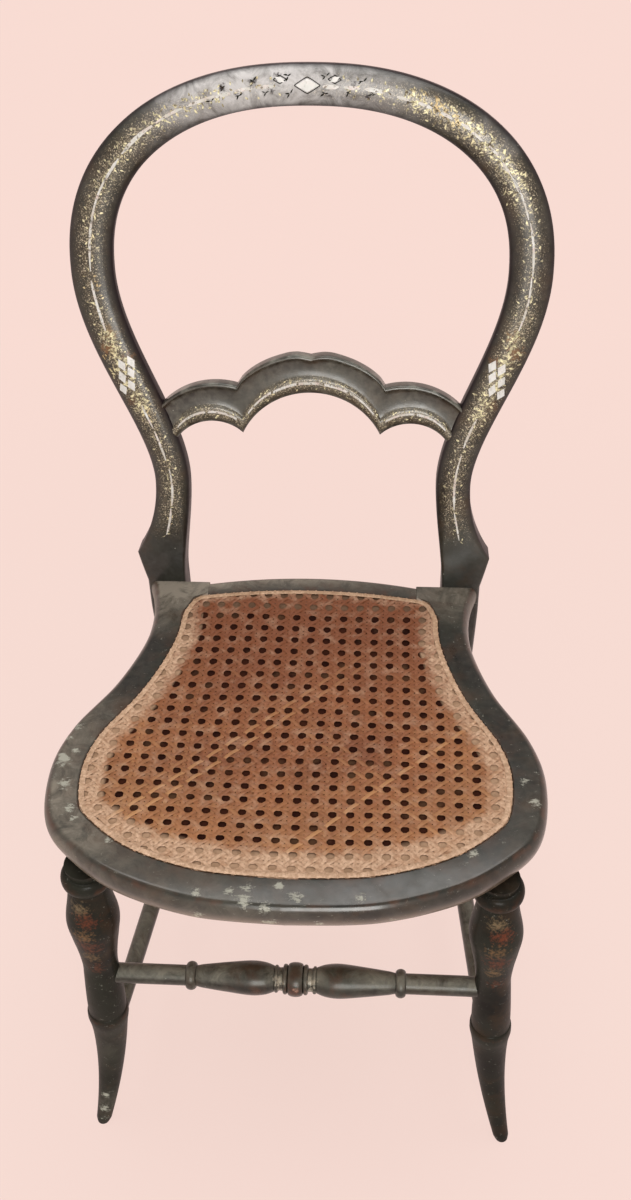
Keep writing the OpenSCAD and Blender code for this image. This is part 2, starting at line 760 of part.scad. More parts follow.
module stile_dowels() {
    color(beech)
        centred()
            both_sides()
                stile_joint_rods(dowel_radius, dowel_length);
}

// Cane: the net, the binding strip over its edge and the pegs that hold it
cane_play = 0.3;
net_half = ledge_half(cane_play);
gap_sides = 6;
gap_radius = cane_gap / 2 / cos(180 / gap_sides);
columns = floor(seat_width / cane_pitch);
rows = floor(seat_depth / cane_pitch);
net_line = ledge_half(ledge_width - cane_gap / 4);
function net_x(y) = lookup(y, [for (p = net_line) if (p[0] > rear_joint_out / 2) [p[1], p[0]]]);
net_front = net_line[0][1];
function front_y(x) = lookup(x, [for (p = net_line) if (p[1] < corner_joint_back) [p[0], p[1]]]);
gap_places = [
    for (j = [0 : rows])
        for (i = [-columns : columns])
            let (x = i * cane_pitch, y = cane_rear - (j + 1.75) * cane_pitch)
            if (y > net_front + cane_gap * 0.4
                && abs(x) < net_x(y) - cane_gap * 0.4
                && (y > corner_joint_back || y > front_y(abs(x)) + cane_gap * 0.4))
                [x, y]
];
module cane_panel() {
    color(cane_colour)
        centred()
            translate([0, 0, seat_height - cane_thickness])
                linear_extrude(cane_thickness)
                    difference() {
                        polygon(joined(net_half));
                        for (p = gap_places)
                            translate(p)
                                rotate([0, 0, 180 / gap_sides])
                                    circle(r = gap_radius, $fn = gap_sides);
                    }
}
module cane_binder() {
    outer = joined(ledge_half(2 * cane_play));
    inner = joined(ledge_half(2 * cane_play + binder_width));
    n = len(outer);
    color(cane_colour)
        centred()
            translate([0, 0, seat_height])
                linear_extrude(binder_thickness)
                    polygon(
                        points = concat(outer, inner),
                        paths = [[for (i = [0 : n - 1]) i], [for (i = [0 : len(inner) - 1]) n + i]]
                    );
}
peg_length = rail_thickness / 2;
module cane_pegs() {
    color(beech)
        centred()
            both_sides()
                for (i = [0 : 2 : cane_holes - 1])
                    translate([cane_hole_places[i][0], cane_hole_places[i][1],
                        seat_height - cane_thickness - peg_length])
                        cylinder(r = cane_hole / 2 - glue_gap, h = peg_length);
}

// Front legs: turned down to the ring, then a curved foot
collar_height = underside - collar_radius * 0.75;
collar_half = collar_radius * 0.4;
collar_top_radius = collar_radius * 0.8;
vase_low = ring_height + ring_half;
vase_high = collar_height - collar_half;
vase_shares = [
    [0.29, 0], [0.25, 0.108], [0.167, 0.21], [0.073, 0.3], [0.009, 0.396], [0.277, 0.517],
    [0.713, 0.638], [1, 0.753], [0.463, 0.895], [0.105, 1]
];
bead_steps = 8;
function bead(radius, base, level, half) = [
    for (k = [0 : bead_steps])
        let (a = 180 * k / bead_steps - 90)
        [mix(base, radius, cos(a)), level + half * sin(a)]
];
vase_curve = curve_through([for (q = vase_shares)
    [mix(neck_radius, vase_radius, q[0]), mix(vase_low, vase_high, q[1])]], 3);
leg_profile = concat(
    [[0, vase_low - 2 * ring_half - overrun], [foot_radius, vase_low - 2 * ring_half - overrun]],
    bead(ring_radius, vase_curve[0][0], ring_height, ring_half),
    [for (i = [1 : len(vase_curve) - 2]) vase_curve[i]],
    bead(collar_radius, vase_curve[len(vase_curve) - 1][0], collar_height, collar_half),
    [[collar_top_radius, underside - overrun], [collar_top_radius, underside + overrun],
        [0, underside + overrun]]
);
foot_sides = 16;
foot_steps = 14;
function foot_ring(z) =
    let (centre = leg_axis(z) + foot_bend(z) * [foot_out, -foot_forward, 0])
    [for (k = [0 : foot_sides - 1])
        let (a = 360 * k / foot_sides)
        centre + foot_radius_at(z) * [cos(a), sin(a), 0]];
module leaned() {
    translate([leg_out, leg_back, underside])
        rotate([0, -leg_lean, 0])
            children();
}
module leg_tenon(gap) {
    leaned()
        translate([0, 0, -collar_radius])
            cylinder(r = leg_tenon_radius + gap, h = collar_radius + leg_tenon_length + gap);
}
module front_leg() {
    color(ebony)
        centred()
            difference() {
                union() {
                    difference() {
                        leaned()
                            translate([0, 0, -underside])
                                rotate_extrude()
                                    polygon(leg_profile);
                        translate([0, -seat_depth, underside])
                            cube([seat_width, 2 * seat_depth, rail_thickness]);
                    }
                    leg_tenon(0);
                    loft([for (i = [0 : foot_steps])
                        foot_ring(mix(0, foot_top + ring_half, i / foot_steps))]);
                }
                front_stretcher_ends(glue_gap);
                side_stretcher_solid(glue_gap);
            }
}
module right_front_leg() {
    front_leg();
}
module left_front_leg() {
    mirror([1, 0, 0]) front_leg();
}

// Stretchers
bead_share = 0.04;
neck_share = 0.105;
swell_share = 0.23;
shoulder_share = 0.477;
stretcher_ring_share = 0.535;
ring_thickness = stretcher_ring_radius * 0.75;
half_span = front_leg_out;
flank_radius = mix(stretcher_neck_radius, stretcher_swell_radius, 0.55);
swell_curve = curve_through([
    [stretcher_neck_radius, neck_share * half_span],
    [flank_radius, mix(neck_share, swell_share, 0.4) * half_span],
    [stretcher_swell_radius, swell_share * half_span],
    [flank_radius, mix(swell_share, shoulder_share, 0.5) * half_span],
    [stretcher_neck_radius, shoulder_share * half_span]
], 4);
front_stretcher_half = concat(
    [for (k = [0 : bead_steps / 2])
        let (a = 180 * k / bead_steps)
        [mix(stretcher_neck_radius, stretcher_swell_radius, cos(a)), bead_share * half_span * sin(a)]],
    swell_curve,
    bead(stretcher_ring_radius, stretcher_end_radius, stretcher_ring_share * half_span, ring_thickness / 2),
    [[stretcher_end_radius, front_body_half], [0, front_body_half]]
);
module front_stretcher() {
    color(ebony)
        centred() {
            translate([0, leg_back, front_stretcher_height])
                rotate([0, 90, 0])
                    both_ends()
                        rotate_extrude()
                            polygon(concat([[0, 0]], front_stretcher_half));
            front_stretcher_tenons();
        }
}
module both_ends() {
    children();
    mirror([0, 0, 1]) children();
}
module front_stretcher_tenons() {
    translate([0, leg_back, front_stretcher_height])
        rotate([0, 90, 0])
            cylinder(r = stretcher_tenon_radius, h = 2 * (front_body_half + stretcher_tenon_length),
                center = true);
}
module right_side_stretcher() {
    color(ebony) centred() side_stretcher_solid(0);
}
module left_side_stretcher() {
    mirror([1, 0, 0]) right_side_stretcher();
}
module rear_stretcher() {
    color(ebony) centred() rear_stretcher_solid(0);
}

// Pearl slips laid along the middle of the hoop's face
slip_steps = 4;
slip_space_share = 0.12;
stile_slips = 6;
function slip_ring(v) =
    let (
        edges = hoop_edges(v),
        outer = on_face(edges[0]),
        inner = on_face(edges[1]),
        across = unit(outer - inner) * pearl_width / 2,
        middle = (outer + inner) / 2,
        back = back_dir(edges[0][1]),
        near = -back * lacquer_gap,
        far = -back * (lacquer_gap + pearl_thickness)
    )
    [middle + across + far, middle + across + near, middle - across + near, middle - across + far];
module slip(from, to) {
    loft([for (k = [0 : slip_steps]) slip_ring(mix(from, to, k / slip_steps))]);
}
module slip_row(from, to, count) {
    for (i = [0 : count - 1])
        slip(mix(from, to, (i + slip_space_share) / count),
            mix(from, to, (i + 1 - slip_space_share) / count));
}
pearl_start_share = -0.8;
diamonds_low_share = 0.44;
diamonds_high_share = 0.62;
module stile_pearl_line() {
    color(pearl)
        centred() {
            slip_row(pearl_start_share, diamonds_low_share, stile_slips);
            slip_row(diamonds_high_share, crest_joint, stile_slips);
        }
}
module right_pearl_line() {
    stile_pearl_line();
}
module left_pearl_line() {
    mirror([1, 0, 0]) stile_pearl_line();
}
crest_gap_share = 0.07;
crest_diamond_step_share = 0.055;
module crest_pearl_line() {
    color(pearl)
        centred()
            both_sides()
                slip_row(crest_joint, 2 - crest_gap_share, 3);
}
module cross_rail_pearl_line() {
    color(pearl)
        centred()
            on_back() {
                both_sides()
                    cross_slips(cusp_out + lower_band / 3, stile_inner(cross_side_arch) - lower_band, 2);
                cross_slips(-cusp_out + lower_band / 3, cusp_out - lower_band / 3, 4);
            }
}
function cross_slip_ring(x) =
    let (
        middle = lower_edge(abs(x)) + lower_band * band_crest_share,
        near = cross_front - lacquer_gap,
        far = near - pearl_thickness,
        half = pearl_width / 2
    )
    [[x, far, middle - half], [x, near, middle - half], [x, near, middle + half], [x, far, middle + half]];
module cross_slips(from, to, count) {
    for (i = [0 : count - 1])
        loft([for (k = [0 : slip_steps])
            let (run = i + mix(slip_space_share, 1 - slip_space_share, k / slip_steps))
            cross_slip_ring(mix(from, to, run / count))]);
}

// Pearl diamonds: each is a flat plate whose inner corner lies on the rounded face
function crown_drop(u, width) =
    let (run = clamp_share((u - width * (0.5 - crown_share)) / (crown_share * width)))
    crown_depth * (1 - sqrt(1 - run * run));
diamond_outline = [
    [diamond_width / 2, 0], [0, diamond_length / 2], [-diamond_width / 2, 0], [0, -diamond_length / 2]
];
module diamond(v, u) {
    edges = hoop_edges(v);
    width = norm(edges[0] - edges[1]);
    across = (edges[0] - edges[1]) / width;
    centre = (edges[0] + edges[1]) / 2 + across * u;
    near = max(abs(u) - diamond_width / 2, 0);
    translate([centre[0], crown_drop(near, width) - lacquer_gap, centre[1]])
        rotate([90, -atan2(across[1], across[0]), 0])
            linear_extrude(pearl_thickness)
                polygon(diamond_outline);
}
diamonds_mid_share = (diamonds_low_share + diamonds_high_share) / 2;
diamond_step_share = 0.045;
diamond_places_shares = [[0, -0.58], [0, 0.58], [1, 0], [-1, 0], [-1, 1.15], [1, -1.15]];
module stile_pearl_diamonds() {
    color(pearl)
        centred()
            on_back()
                for (q = diamond_places_shares)
                    diamond(diamonds_mid_share + q[0] * diamond_step_share, q[1] * diamond_width);
}
module right_pearl_diamonds() {
    stile_pearl_diamonds();
}
module left_pearl_diamonds() {
    mirror([1, 0, 0]) stile_pearl_diamonds();
}
module crest_pearl_diamonds() {
    color(pearl)
        centred()
            on_back()
                for (k = [-1, 0, 1])
                    diamond(2 + k * crest_diamond_step_share, 0);
}

left_stile();
right_stile();
crest_rail();
crest_dowels();
cross_rail();
front_seat_rail();
left_seat_rail();
right_seat_rail();
rear_seat_rail();
seat_corner_dowels();
stile_dowels();
cane_panel();
cane_binder();
cane_pegs();
left_front_leg();
right_front_leg();
front_stretcher();
left_side_stretcher();
right_side_stretcher();
rear_stretcher();
crest_pearl_line();
left_pearl_line();
right_pearl_line();
cross_rail_pearl_line();
crest_pearl_diamonds();
left_pearl_diamonds();
right_pearl_diamonds();
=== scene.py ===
"""Balloon back chair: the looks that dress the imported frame.

Shapes are worked out in millimetres with x to the right, y back from the front edge of the
seat and z up, and are moved into the row's frame, in metres, when a mesh is made.
Along the back, s is the distance up its slope from the top of the seat.
Along the hoop, v is -1 at the shoulder, 0 at the waist, 1 at the widest place and 2 at the top,
and runs on from 3 to 5 down the far side.
"""

import math
import random

import bpy
import numpy as np
from mathutils import Matrix, Vector


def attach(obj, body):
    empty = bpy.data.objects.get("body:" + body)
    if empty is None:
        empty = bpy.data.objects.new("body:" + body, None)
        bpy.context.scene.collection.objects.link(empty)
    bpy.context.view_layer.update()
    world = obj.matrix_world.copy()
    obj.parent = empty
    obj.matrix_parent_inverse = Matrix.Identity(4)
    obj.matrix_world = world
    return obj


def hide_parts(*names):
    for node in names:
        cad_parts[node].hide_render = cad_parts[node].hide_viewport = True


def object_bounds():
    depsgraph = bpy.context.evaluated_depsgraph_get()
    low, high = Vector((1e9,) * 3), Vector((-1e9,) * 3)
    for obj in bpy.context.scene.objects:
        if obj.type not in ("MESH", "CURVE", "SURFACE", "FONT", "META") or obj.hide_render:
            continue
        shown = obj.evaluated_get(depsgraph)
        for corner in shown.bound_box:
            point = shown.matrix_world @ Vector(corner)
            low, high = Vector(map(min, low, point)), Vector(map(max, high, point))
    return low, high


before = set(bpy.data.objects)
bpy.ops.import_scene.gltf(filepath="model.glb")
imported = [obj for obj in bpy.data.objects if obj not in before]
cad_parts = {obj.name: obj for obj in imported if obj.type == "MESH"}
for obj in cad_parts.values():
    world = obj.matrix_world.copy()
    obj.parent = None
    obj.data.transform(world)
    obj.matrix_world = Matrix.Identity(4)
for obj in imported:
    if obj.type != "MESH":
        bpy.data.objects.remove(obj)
cad_low, cad_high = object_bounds()
random.seed(1867)

MM, FULL_TURN = 0.001, 6.28
BODY = "root"

# Sizes, as in the part's source: the seat
SEAT_HEIGHT, SEAT_WIDTH, SEAT_DEPTH = 425.0, 434.0, 394.0
RAIL_THICKNESS, BAND_WIDTH, LEDGE_WIDTH, REAR_BOW = 31.5, 30.0, 22.0, 12.0
EDGE_ROUND_TOP, EDGE_ROUND_IN, EDGE_UNDER, CORNER_JOINT_BACK = 12.0, 8.0, 12.5, 124.0
CANE_THICKNESS, BINDER_WIDTH = 2.4, 4.6
UNDERSIDE = SEAT_HEIGHT - RAIL_THICKNESS

# The back and the rear legs
BACK_RAKE, BACK_LENGTH, BEND_LENGTH = math.radians(11.0), 491.0, 36.0
BALLOON_WIDTH, BALLOON_HEIGHT, WAIST_WIDTH, WAIST_HEIGHT = 431.0, 318.0, 306.0, 111.0
SHOULDER_WIDTH, SHOULDER_HEIGHT, UPRIGHT_GAP = 350.5, 34.0, 258.5
CREST_FACE, SIDE_FACE, WAIST_FACE, BLOCK_FACE = 33.5, 39.0, 33.0, 38.5
CREST_THICKNESS, BLOCK_THICKNESS, CROWN_DEPTH = 19.0, 30.0, 8.0
REAR_ROUND, LEG_ROUND, BLOCK_ROUND = 5.0, 6.0, 3.0
REAR_SWEEP, REAR_FOOT_FACE, REAR_FOOT_THICKNESS, SWEEP_POWER = 72.0, 29.0, 25.0, 1.9
CREST_JOINT = 1 + 46.0 / 90.0

# The cross rail
CROSS_TOP, CROSS_ARCH, CROSS_CUSP, CUSP_OUT, CROSS_SIDE_ARCH = 241.0, 203.5, 162.5, 65.0, 174.0
CROSS_SIDE_TOP, SIDE_LOBE_OUT, SIDE_LOBE_RADIUS, CROSS_THICKNESS = 212.5, 89.0, 72.0, 14.0
CROSS_SET_BACK, BEAD_WIDTH, LOWER_BAND, HOLLOW_DEPTH, HOUSING_DEPTH = 4.0, 5.0, 17.5, 2.0, 12.0
BAND_CREST_SHARE = 0.6

# The front legs and the stretchers
LEG_OUT, LEG_BACK, LEG_LEAN, COLLAR_RADIUS, VASE_RADIUS = 173.6, 63.0, math.radians(2.0), 22.0, 23.5
NECK_RADIUS, RING_RADIUS, FOOT_RADIUS, TOE_RADIUS, RING_HEIGHT = 16.0, 19.5, 18.0, 7.5, 169.5
FOOT_OUT, FOOT_FORWARD, FOOT_POWER = 15.5, 23.0, 2.0
FRONT_STRETCHER_HEIGHT, STRETCHER_END_RADIUS, STRETCHER_RING_RADIUS = 231.0, 9.3, 13.0
STRETCHER_SWELL_RADIUS, STRETCHER_NECK_RADIUS, STRETCHER_SEAT = 15.5, 10.5, 3.5
NECK_SHARE, SWELL_SHARE, SHOULDER_SHARE, STRETCHER_RING_SHARE = 0.105, 0.23, 0.477, 0.535
SIDE_STRETCHER_FRONT, SIDE_STRETCHER_REAR, SIDE_STRETCHER_RADIUS = 128.0, 110.0, 9.0
REAR_STRETCHER_HEIGHT, REAR_STRETCHER_RADIUS = 190.0, 8.5


# Blends and curves
def mix(a, b, u):
    return a + (b - a) * u


def clamp_share(u):
    return min(max(u, 0.0), 1.0)


def ramp(value, none_at, full_at):
    """0 up to one measure and 1 from the other on, with an even slope between them."""
    return clamp_share((value - none_at) / (full_at - none_at))


def ease(u):
    v = clamp_share(u)
    return v * v * (3 - 2 * v)


def unit(v):
    return np.asarray(v, float) / np.linalg.norm(v)


def spread(first, last, steps):
    return [mix(first, last, k / steps) for k in range(steps + 1)]


def curve_through(points, steps):
    """A smooth curve through points, with so many steps between neighbours."""
    p = [np.asarray(q, float) for q in points]
    last, out = len(p) - 1, []
    for i in range(last):
        a, b, c, d = p[max(i - 1, 0)], p[i], p[i + 1], p[min(i + 2, last)]
        for k in range(steps):
            u = k / steps
            out.append(0.5 * (2 * b + (c - a) * u + (2 * a - 5 * b + 4 * c - d) * u * u
                              + (3 * b - a - 3 * c + d) * u ** 3))
    return out + [p[last]]


# Meshes
def to_row(points):
    p = np.array(points, float).reshape(-1, 3) * MM
    p[:, 1] += cad_low.y
    return p


def evenly(values, count):
    """The same painted value for all points of a ring, ring by ring."""
    return [[value] * count for value in values]


class Build:
    """Gathers the points, faces and painted values of one piece."""

    def __init__(self):
        self.points, self.faces, self.values = [], [], {}

    def add(self, points, faces, **values):
        base, count = len(self.points), len(points)
        self.points += [tuple(p) for p in points]
        self.faces += [[base + i for i in f] for f in faces]
        for key in set(self.values) | set(values):
            held = self.values.setdefault(key, [0.0] * base)
            held += list(values.get(key, [0.0] * count))

    def skin(self, rings, loop=False, **values):
        """Rings of equally many points, counter-clockwise round the way from first to last.

        The ends are capped, or the last ring is joined to the first in a loop."""
        n, m = len(rings[0]), len(rings)
        faces = [[j * n + i, j * n + (i + 1) % n, (j + 1) % m * n + (i + 1) % n, (j + 1) % m * n + i]
                 for j in range(m if loop else m - 1) for i in range(n)]
        if not loop:
            faces += [list(range(n - 1, -1, -1)), [(m - 1) * n + i for i in range(n)]]
        flat = {key: [x for ring in held for x in ring] for key, held in values.items()}
        self.add([p for ring in rings for p in ring], faces, **flat)

    def mirrored(self):
        other = Build()
        other.points = [(-x, y, z) for x, y, z in self.points]
        other.faces = [f[::-1] for f in self.faces]
        other.values = self.values
        return other

    def make(self, name, material, replaced=(), slot=None, sharp=32.0):
        mesh = bpy.data.meshes.new(name)
        mesh.from_pydata(to_row(self.points).tolist(), [], self.faces)
        for key, held in self.values.items():
            mesh.attributes.new(key, "FLOAT", "POINT").data.foreach_set("value", held)
        mesh.validate()
        mesh.polygons.foreach_set("use_smooth", [True] * len(mesh.polygons))
        mesh.set_sharp_from_angle(angle=math.radians(sharp))
        mesh.materials.append(material)
        obj = bpy.data.objects.new(name, mesh)
        bpy.context.scene.collection.objects.link(obj)
        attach(obj, BODY)
        if replaced:
            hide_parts(*replaced)


def lofted(rings, *keys):
    """One closed skin over rings that each hold their points and then a painted value per key."""
    build = Build()
    points, *painted = zip(*rings)
    build.skin(points, **dict(zip(keys, painted)))
    return build


# Shader nodes
class Nodes:
    """Short names for the nodes that the finishes and the surroundings are made of."""

    def __init__(self, tree):
        self.tree = tree

    def put(self, socket, value):
        if isinstance(value, bpy.types.NodeSocket):
            self.tree.links.new(value, socket)
        else:
            socket.default_value = value

    def node(self, kind, **inputs):
        made = self.tree.nodes.new(kind)
        for name, value in inputs.items():
            self.put(made.inputs[name.replace("_", " ")], value)
        return made

    def math(self, operation, a, b=0.0, clamp=False):
        node = self.node("ShaderNodeMath")
        node.operation, node.use_clamp = operation, clamp
        self.put(node.inputs[0], a)
        self.put(node.inputs[1], b)
        return node.outputs[0]

    def times(self, a, b, clamp=False):
        return self.math("MULTIPLY", a, b, clamp)

    def plus(self, a, b, clamp=False):
        return self.math("ADD", a, b, clamp)

    def rest(self, share):
        return self.math("SUBTRACT", 1.0, share)

    def span(self, value, low, high, to_low=0.0, to_high=1.0):
        """Maps a value evenly from one range to another, and holds it at the ends."""
        node = self.node("ShaderNodeMapRange", Value=value, From_Min=low, From_Max=high,
                         To_Min=to_low, To_Max=to_high)
        node.clamp = True
        return node.outputs["Result"]

    def blend(self, share, a, b):
        """Colour a, with the share of colour b laid over it."""
        node = self.node("ShaderNodeMix", Factor=share)
        node.data_type = "RGBA"
        for socket, colour in ((node.inputs[6], a), (node.inputs[7], b)):
            self.put(socket, colour if isinstance(colour, bpy.types.NodeSocket) else (*colour, 1.0))
        return node.outputs[2]

    def seen(self):
        """1 where a ray comes from the camera or off a glossy or clear surface."""
        path = self.node("ShaderNodeLightPath").outputs
        bounced = self.math("MAXIMUM", path["Is Camera Ray"], path["Is Glossy Ray"])
        return self.math("MAXIMUM", bounced, path["Is Transmission Ray"])


class Shader(Nodes):
    """The nodes of one material, ending in its surface."""

    def __init__(self, name):
        self.material = bpy.data.materials.new(name)
        self.material.use_nodes = True
        super().__init__(self.material.node_tree)
        self.surface = self.tree.nodes["Principled BSDF"]
        self.place = self.node("ShaderNodeTexCoord").outputs["Object"]

    def set(self, **values):
        for name, value in values.items():
            self.put(self.surface.inputs[name.replace("_", " ")], value)

    def noise(self, scale, detail=4.0, roughness=0.55, where=None, distortion=0.0):
        return self.node("ShaderNodeTexNoise", Vector=where or self.place, Scale=scale, Detail=detail,
                         Roughness=roughness, Distortion=distortion).outputs["Fac"]

    def cells(self, scale):
        return self.node("ShaderNodeTexVoronoi", Vector=self.place, Scale=scale).outputs["Distance"]

    def stretched(self, x, y, z):
        return self.node("ShaderNodeMapping", Vector=self.place, Scale=(x, y, z)).outputs["Vector"]

    def value(self, name):
        node = self.node("ShaderNodeAttribute")
        node.attribute_name = name
        return node.outputs["Fac"]

    def upward(self):
        """How far the surface faces up, where dust settles."""
        normal = self.node("ShaderNodeNewGeometry").outputs["Normal"]
        return self.node("ShaderNodeSeparateXYZ", Vector=normal).outputs["Z"]

    def near(self, centre, radius):
        """1 at a place, fading to 0 at the radius, both in millimetres of the drawing."""
        node = self.node("ShaderNodeVectorMath")
        node.operation = "DISTANCE"
        self.put(node.inputs[0], self.place)
        self.put(node.inputs[1], to_row(centre)[0])
        return self.span(node.outputs["Value"], 0.0, radius * MM, 1.0, 0.0)

    def bump(self, height, strength, distance):
        node = self.node("ShaderNodeBump", Height=height, Strength=strength, Distance=distance)
        self.set(Normal=node.outputs["Normal"])


# Black lacquer
BLACK, OLIVE, BROWN = (0.0065, 0.0062, 0.0052), (0.021, 0.022, 0.016), (0.032, 0.019, 0.010)
HAZE, SPARKLE = (0.14, 0.108, 0.062), (0.64, 0.55, 0.38)
# The whitish bloom on the hoop is partly a painted sheen along the crest's face.
DUST, BLOOM_AND_SHEEN = (0.19, 0.175, 0.14), (0.60, 0.59, 0.58)
SEAT_GREY, BAR_GREY = (0.25, 0.22, 0.175), (0.24, 0.23, 0.185)
# The cross rail's grey edge tone is partly wear and partly a painted highlight along its bead.
RED_BROWN, GREY_RUB_AND_HIGHLIGHT, PURPLE_BLACK = (0.075, 0.030, 0.015), (0.24, 0.24, 0.20), (0.012, 0.006, 0.010)
# The bare wood tone is painted lighter than the wood, to offset the shade it lies in under the cane.
CHIP, BARE_PAINTED_LIGHTER, BARE_DARK = (0.42, 0.42, 0.35), (0.60, 0.42, 0.28), (0.40, 0.26, 0.165)


def aged_black(s, broad):
    """The uneven black ground, with haze and sparkle beside the pearl lines."""
    tone = s.blend(s.span(broad, 0.38, 0.66), BLACK, OLIVE)
    tone = s.blend(s.span(s.noise(32, 5, distortion=0.4), 0.50, 0.72), tone, BROWN)
    haze = s.value("haze")
    tone = s.blend(s.times(haze, s.span(s.noise(240, 5, 0.7), 0.36, 0.64)), tone, HAZE)
    sparkle = s.span(s.plus(s.noise(760, 3, 0.7), s.times(haze, 0.10)), 0.60, 0.68)
    return s.blend(s.times(s.times(sparkle, s.span(haze, 0.05, 0.4)), 0.8), tone, SPARKLE)


def dust_and_sheen_share(s, fine, dust, dust_and_sheen_places, settled):
    """How much dust a place has, and on the crest how much painted sheen: a little everywhere, more round the
    given places, and where it faces up.
    """
    dust_and_sheen = s.times(s.span(fine, 0.35, 0.75), dust)
    for centre, radius, share in dust_and_sheen_places:
        dust_and_sheen = s.plus(dust_and_sheen, s.times(s.near(centre, radius), share))
    if settled:
        dust_and_sheen = s.plus(dust_and_sheen, s.span(s.upward(), 0.35, 0.95, 0.0, settled))
    dust_and_sheen = s.times(dust_and_sheen, s.span(s.noise(45, 6, 0.75, distortion=0.8), 0.34, 0.62, 0.25, 1.1))
    return s.times(dust_and_sheen, s.rest(s.times(s.value("edge"), 0.8)), True)


def lost_share(s, chips, specked):
    """Where the lacquer has gone: scattered specks, and ragged chips at their places."""
    specks = s.times(s.span(s.cells(150), 0.11, 0.06), s.span(s.noise(45, 3), 0.56, 0.64))
    lost = s.times(specks, specked)
    streaks = s.noise(210, 6, 0.75, where=s.stretched(0.55, 1.2, 1.2), distortion=0.6)
    patches = s.noise(520, 4, 0.7)
    for centre, radius in chips:
        ragged = s.plus(s.near(centre, radius), s.span(streaks, 0.36, 0.64, -0.8, 0.12))
        ragged = s.plus(ragged, s.span(patches, 0.35, 0.65, -0.2, 0.08))
        lost = s.math("MAXIMUM", lost, s.span(ragged, 0.02, 0.36, 0.0, 0.85))
    return lost


def painted_flowers(s, tone, flowers):
    for centre, radius, colour in flowers:
        petal = s.times(s.near(centre, radius), 1.5)
        petal = s.math("SUBTRACT", petal, s.span(s.noise(300, 4, 0.7), 0.36, 0.6), True)
        tone = s.blend(petal, tone, colour)
    return tone


def lacquer(name, gloss=0.32, dust=0.0, chips=(), flowers=(), dust_and_sheen_places=(), shine=0.5, coat=0.5,
            cover=DUST, edge_tone=RED_BROWN, settled=0.0, specked=0.5, coat_rough=0.2, coat_ior=1.5, matt_rim=0.0):
    """Old black lacquer: uneven tone, dust, worn edges, specks, and chips down to the ground coat; some
    places given for dust are a painted sheen, and a pale edge tone is partly a painted highlight.
    """
    s = Shader(name)
    broad, fine, speckle, edge = s.noise(14, 6), s.noise(160, 5), s.noise(900, 3), s.value("edge")
    dust_and_sheen, lost = dust_and_sheen_share(s, fine, dust, dust_and_sheen_places, settled), lost_share(s, chips, specked)
    tone = s.blend(dust_and_sheen, aged_black(s, broad), cover)
    if matt_rim:
        tone = s.blend(s.span(edge, 0.05, 0.8, 0.0, matt_rim), tone, edge_tone)
    # Edges take the edge tone: wear, and on the cross rail partly a painted highlight.
    edge_toned = s.times(edge, s.span(s.noise(70, 5), 0.46, 0.64), True)
    tone = painted_flowers(s, s.blend(s.times(edge_toned, 0.7), tone, edge_tone), flowers)
    # Bare wood, its tone painted lighter to offset the shade under the cane.
    bare_wood_painted_lighter = s.blend(s.span(s.noise(120, 5), 0.35, 0.65), BARE_PAINTED_LIGHTER, BARE_DARK)
    tone = s.blend(s.value("bare"), s.blend(lost, tone, CHIP), bare_wood_painted_lighter)
    dull = s.plus(s.times(dust_and_sheen, 0.8), lost, True)
    gleam = s.times(s.span(s.noise(60, 5, 0.7), 0.34, 0.66, 0.55 * coat, coat), s.rest(dull), True)
    s.set(Base_Color=tone, Coat_Roughness=coat_rough, Coat_IOR=coat_ior, Specular_IOR_Level=shine,
          Specular_Tint=(0.95, 1.0, 0.9, 1.0))
    if matt_rim:
        left = s.span(edge, 0.0, 0.7, 1.0, 1.0 - matt_rim)
        gleam = s.times(gleam, left)
        s.set(Specular_IOR_Level=s.times(left, shine))
    rough = s.plus(s.span(broad, 0.3, 0.7, gloss - 0.06, gloss + 0.08), s.span(fine, 0.3, 0.7, -0.05, 0.05))
    s.set(Coat_Weight=gleam, Roughness=s.plus(rough, s.times(dull, 0.3), True))
    height = s.plus(s.times(fine, 0.6), s.times(speckle, 0.15))
    s.bump(s.math("SUBTRACT", height, s.times(lost, 1.2)), 0.35, 0.0004)
    return s.material


# Pearl, gilding, cane and bare wood
def pearl_shell(name, dirt):
    s = Shader(name)
    cloud, grain = s.noise(90, 4), s.noise(420, 4, where=s.stretched(1, 1, 0.4))
    tone = s.blend(s.span(cloud, 0.35, 0.65, 1 - dirt, 1.0), (0.56, 0.51, 0.43), (0.78, 0.78, 0.75))
    tone = s.blend(s.span(grain, 0.45, 0.7, 0.0, 0.5), tone, (0.56, 0.60, 0.54))
    tone = s.blend(s.span(s.noise(150, 3), 0.52, 0.72, 0.0, 0.6 * dirt), tone, (0.70, 0.50, 0.44))
    tone = s.blend(s.span(s.noise(420, 3), 0.56, 0.66, 0.0, 0.95 * dirt), tone, (0.16, 0.12, 0.075))
    s.set(Base_Color=tone, Roughness=s.span(grain, 0.3, 0.7, 0.30, 0.50), Coat_Weight=0.3 - 0.2 * dirt,
          Coat_Roughness=0.2, Specular_IOR_Level=0.5 - 0.25 * dirt)
    s.bump(grain, 0.2, 0.0003)
    return s.material


def worn_gold(name):
    s = Shader(name)
    wear = s.span(s.noise(260, 5, 0.7), 0.42, 0.60)
    tone = s.blend(s.span(s.noise(22, 3), 0.26, 0.42), (0.54, 0.38, 0.16), (0.78, 0.73, 0.45))
    s.set(Base_Color=s.blend(wear, tone, (0.07, 0.05, 0.03)), Metallic=0.25,
          Roughness=s.span(wear, 0, 1, 0.42, 0.6))
    s.bump(s.noise(900, 3), 0.2, 0.0002)
    return s.material


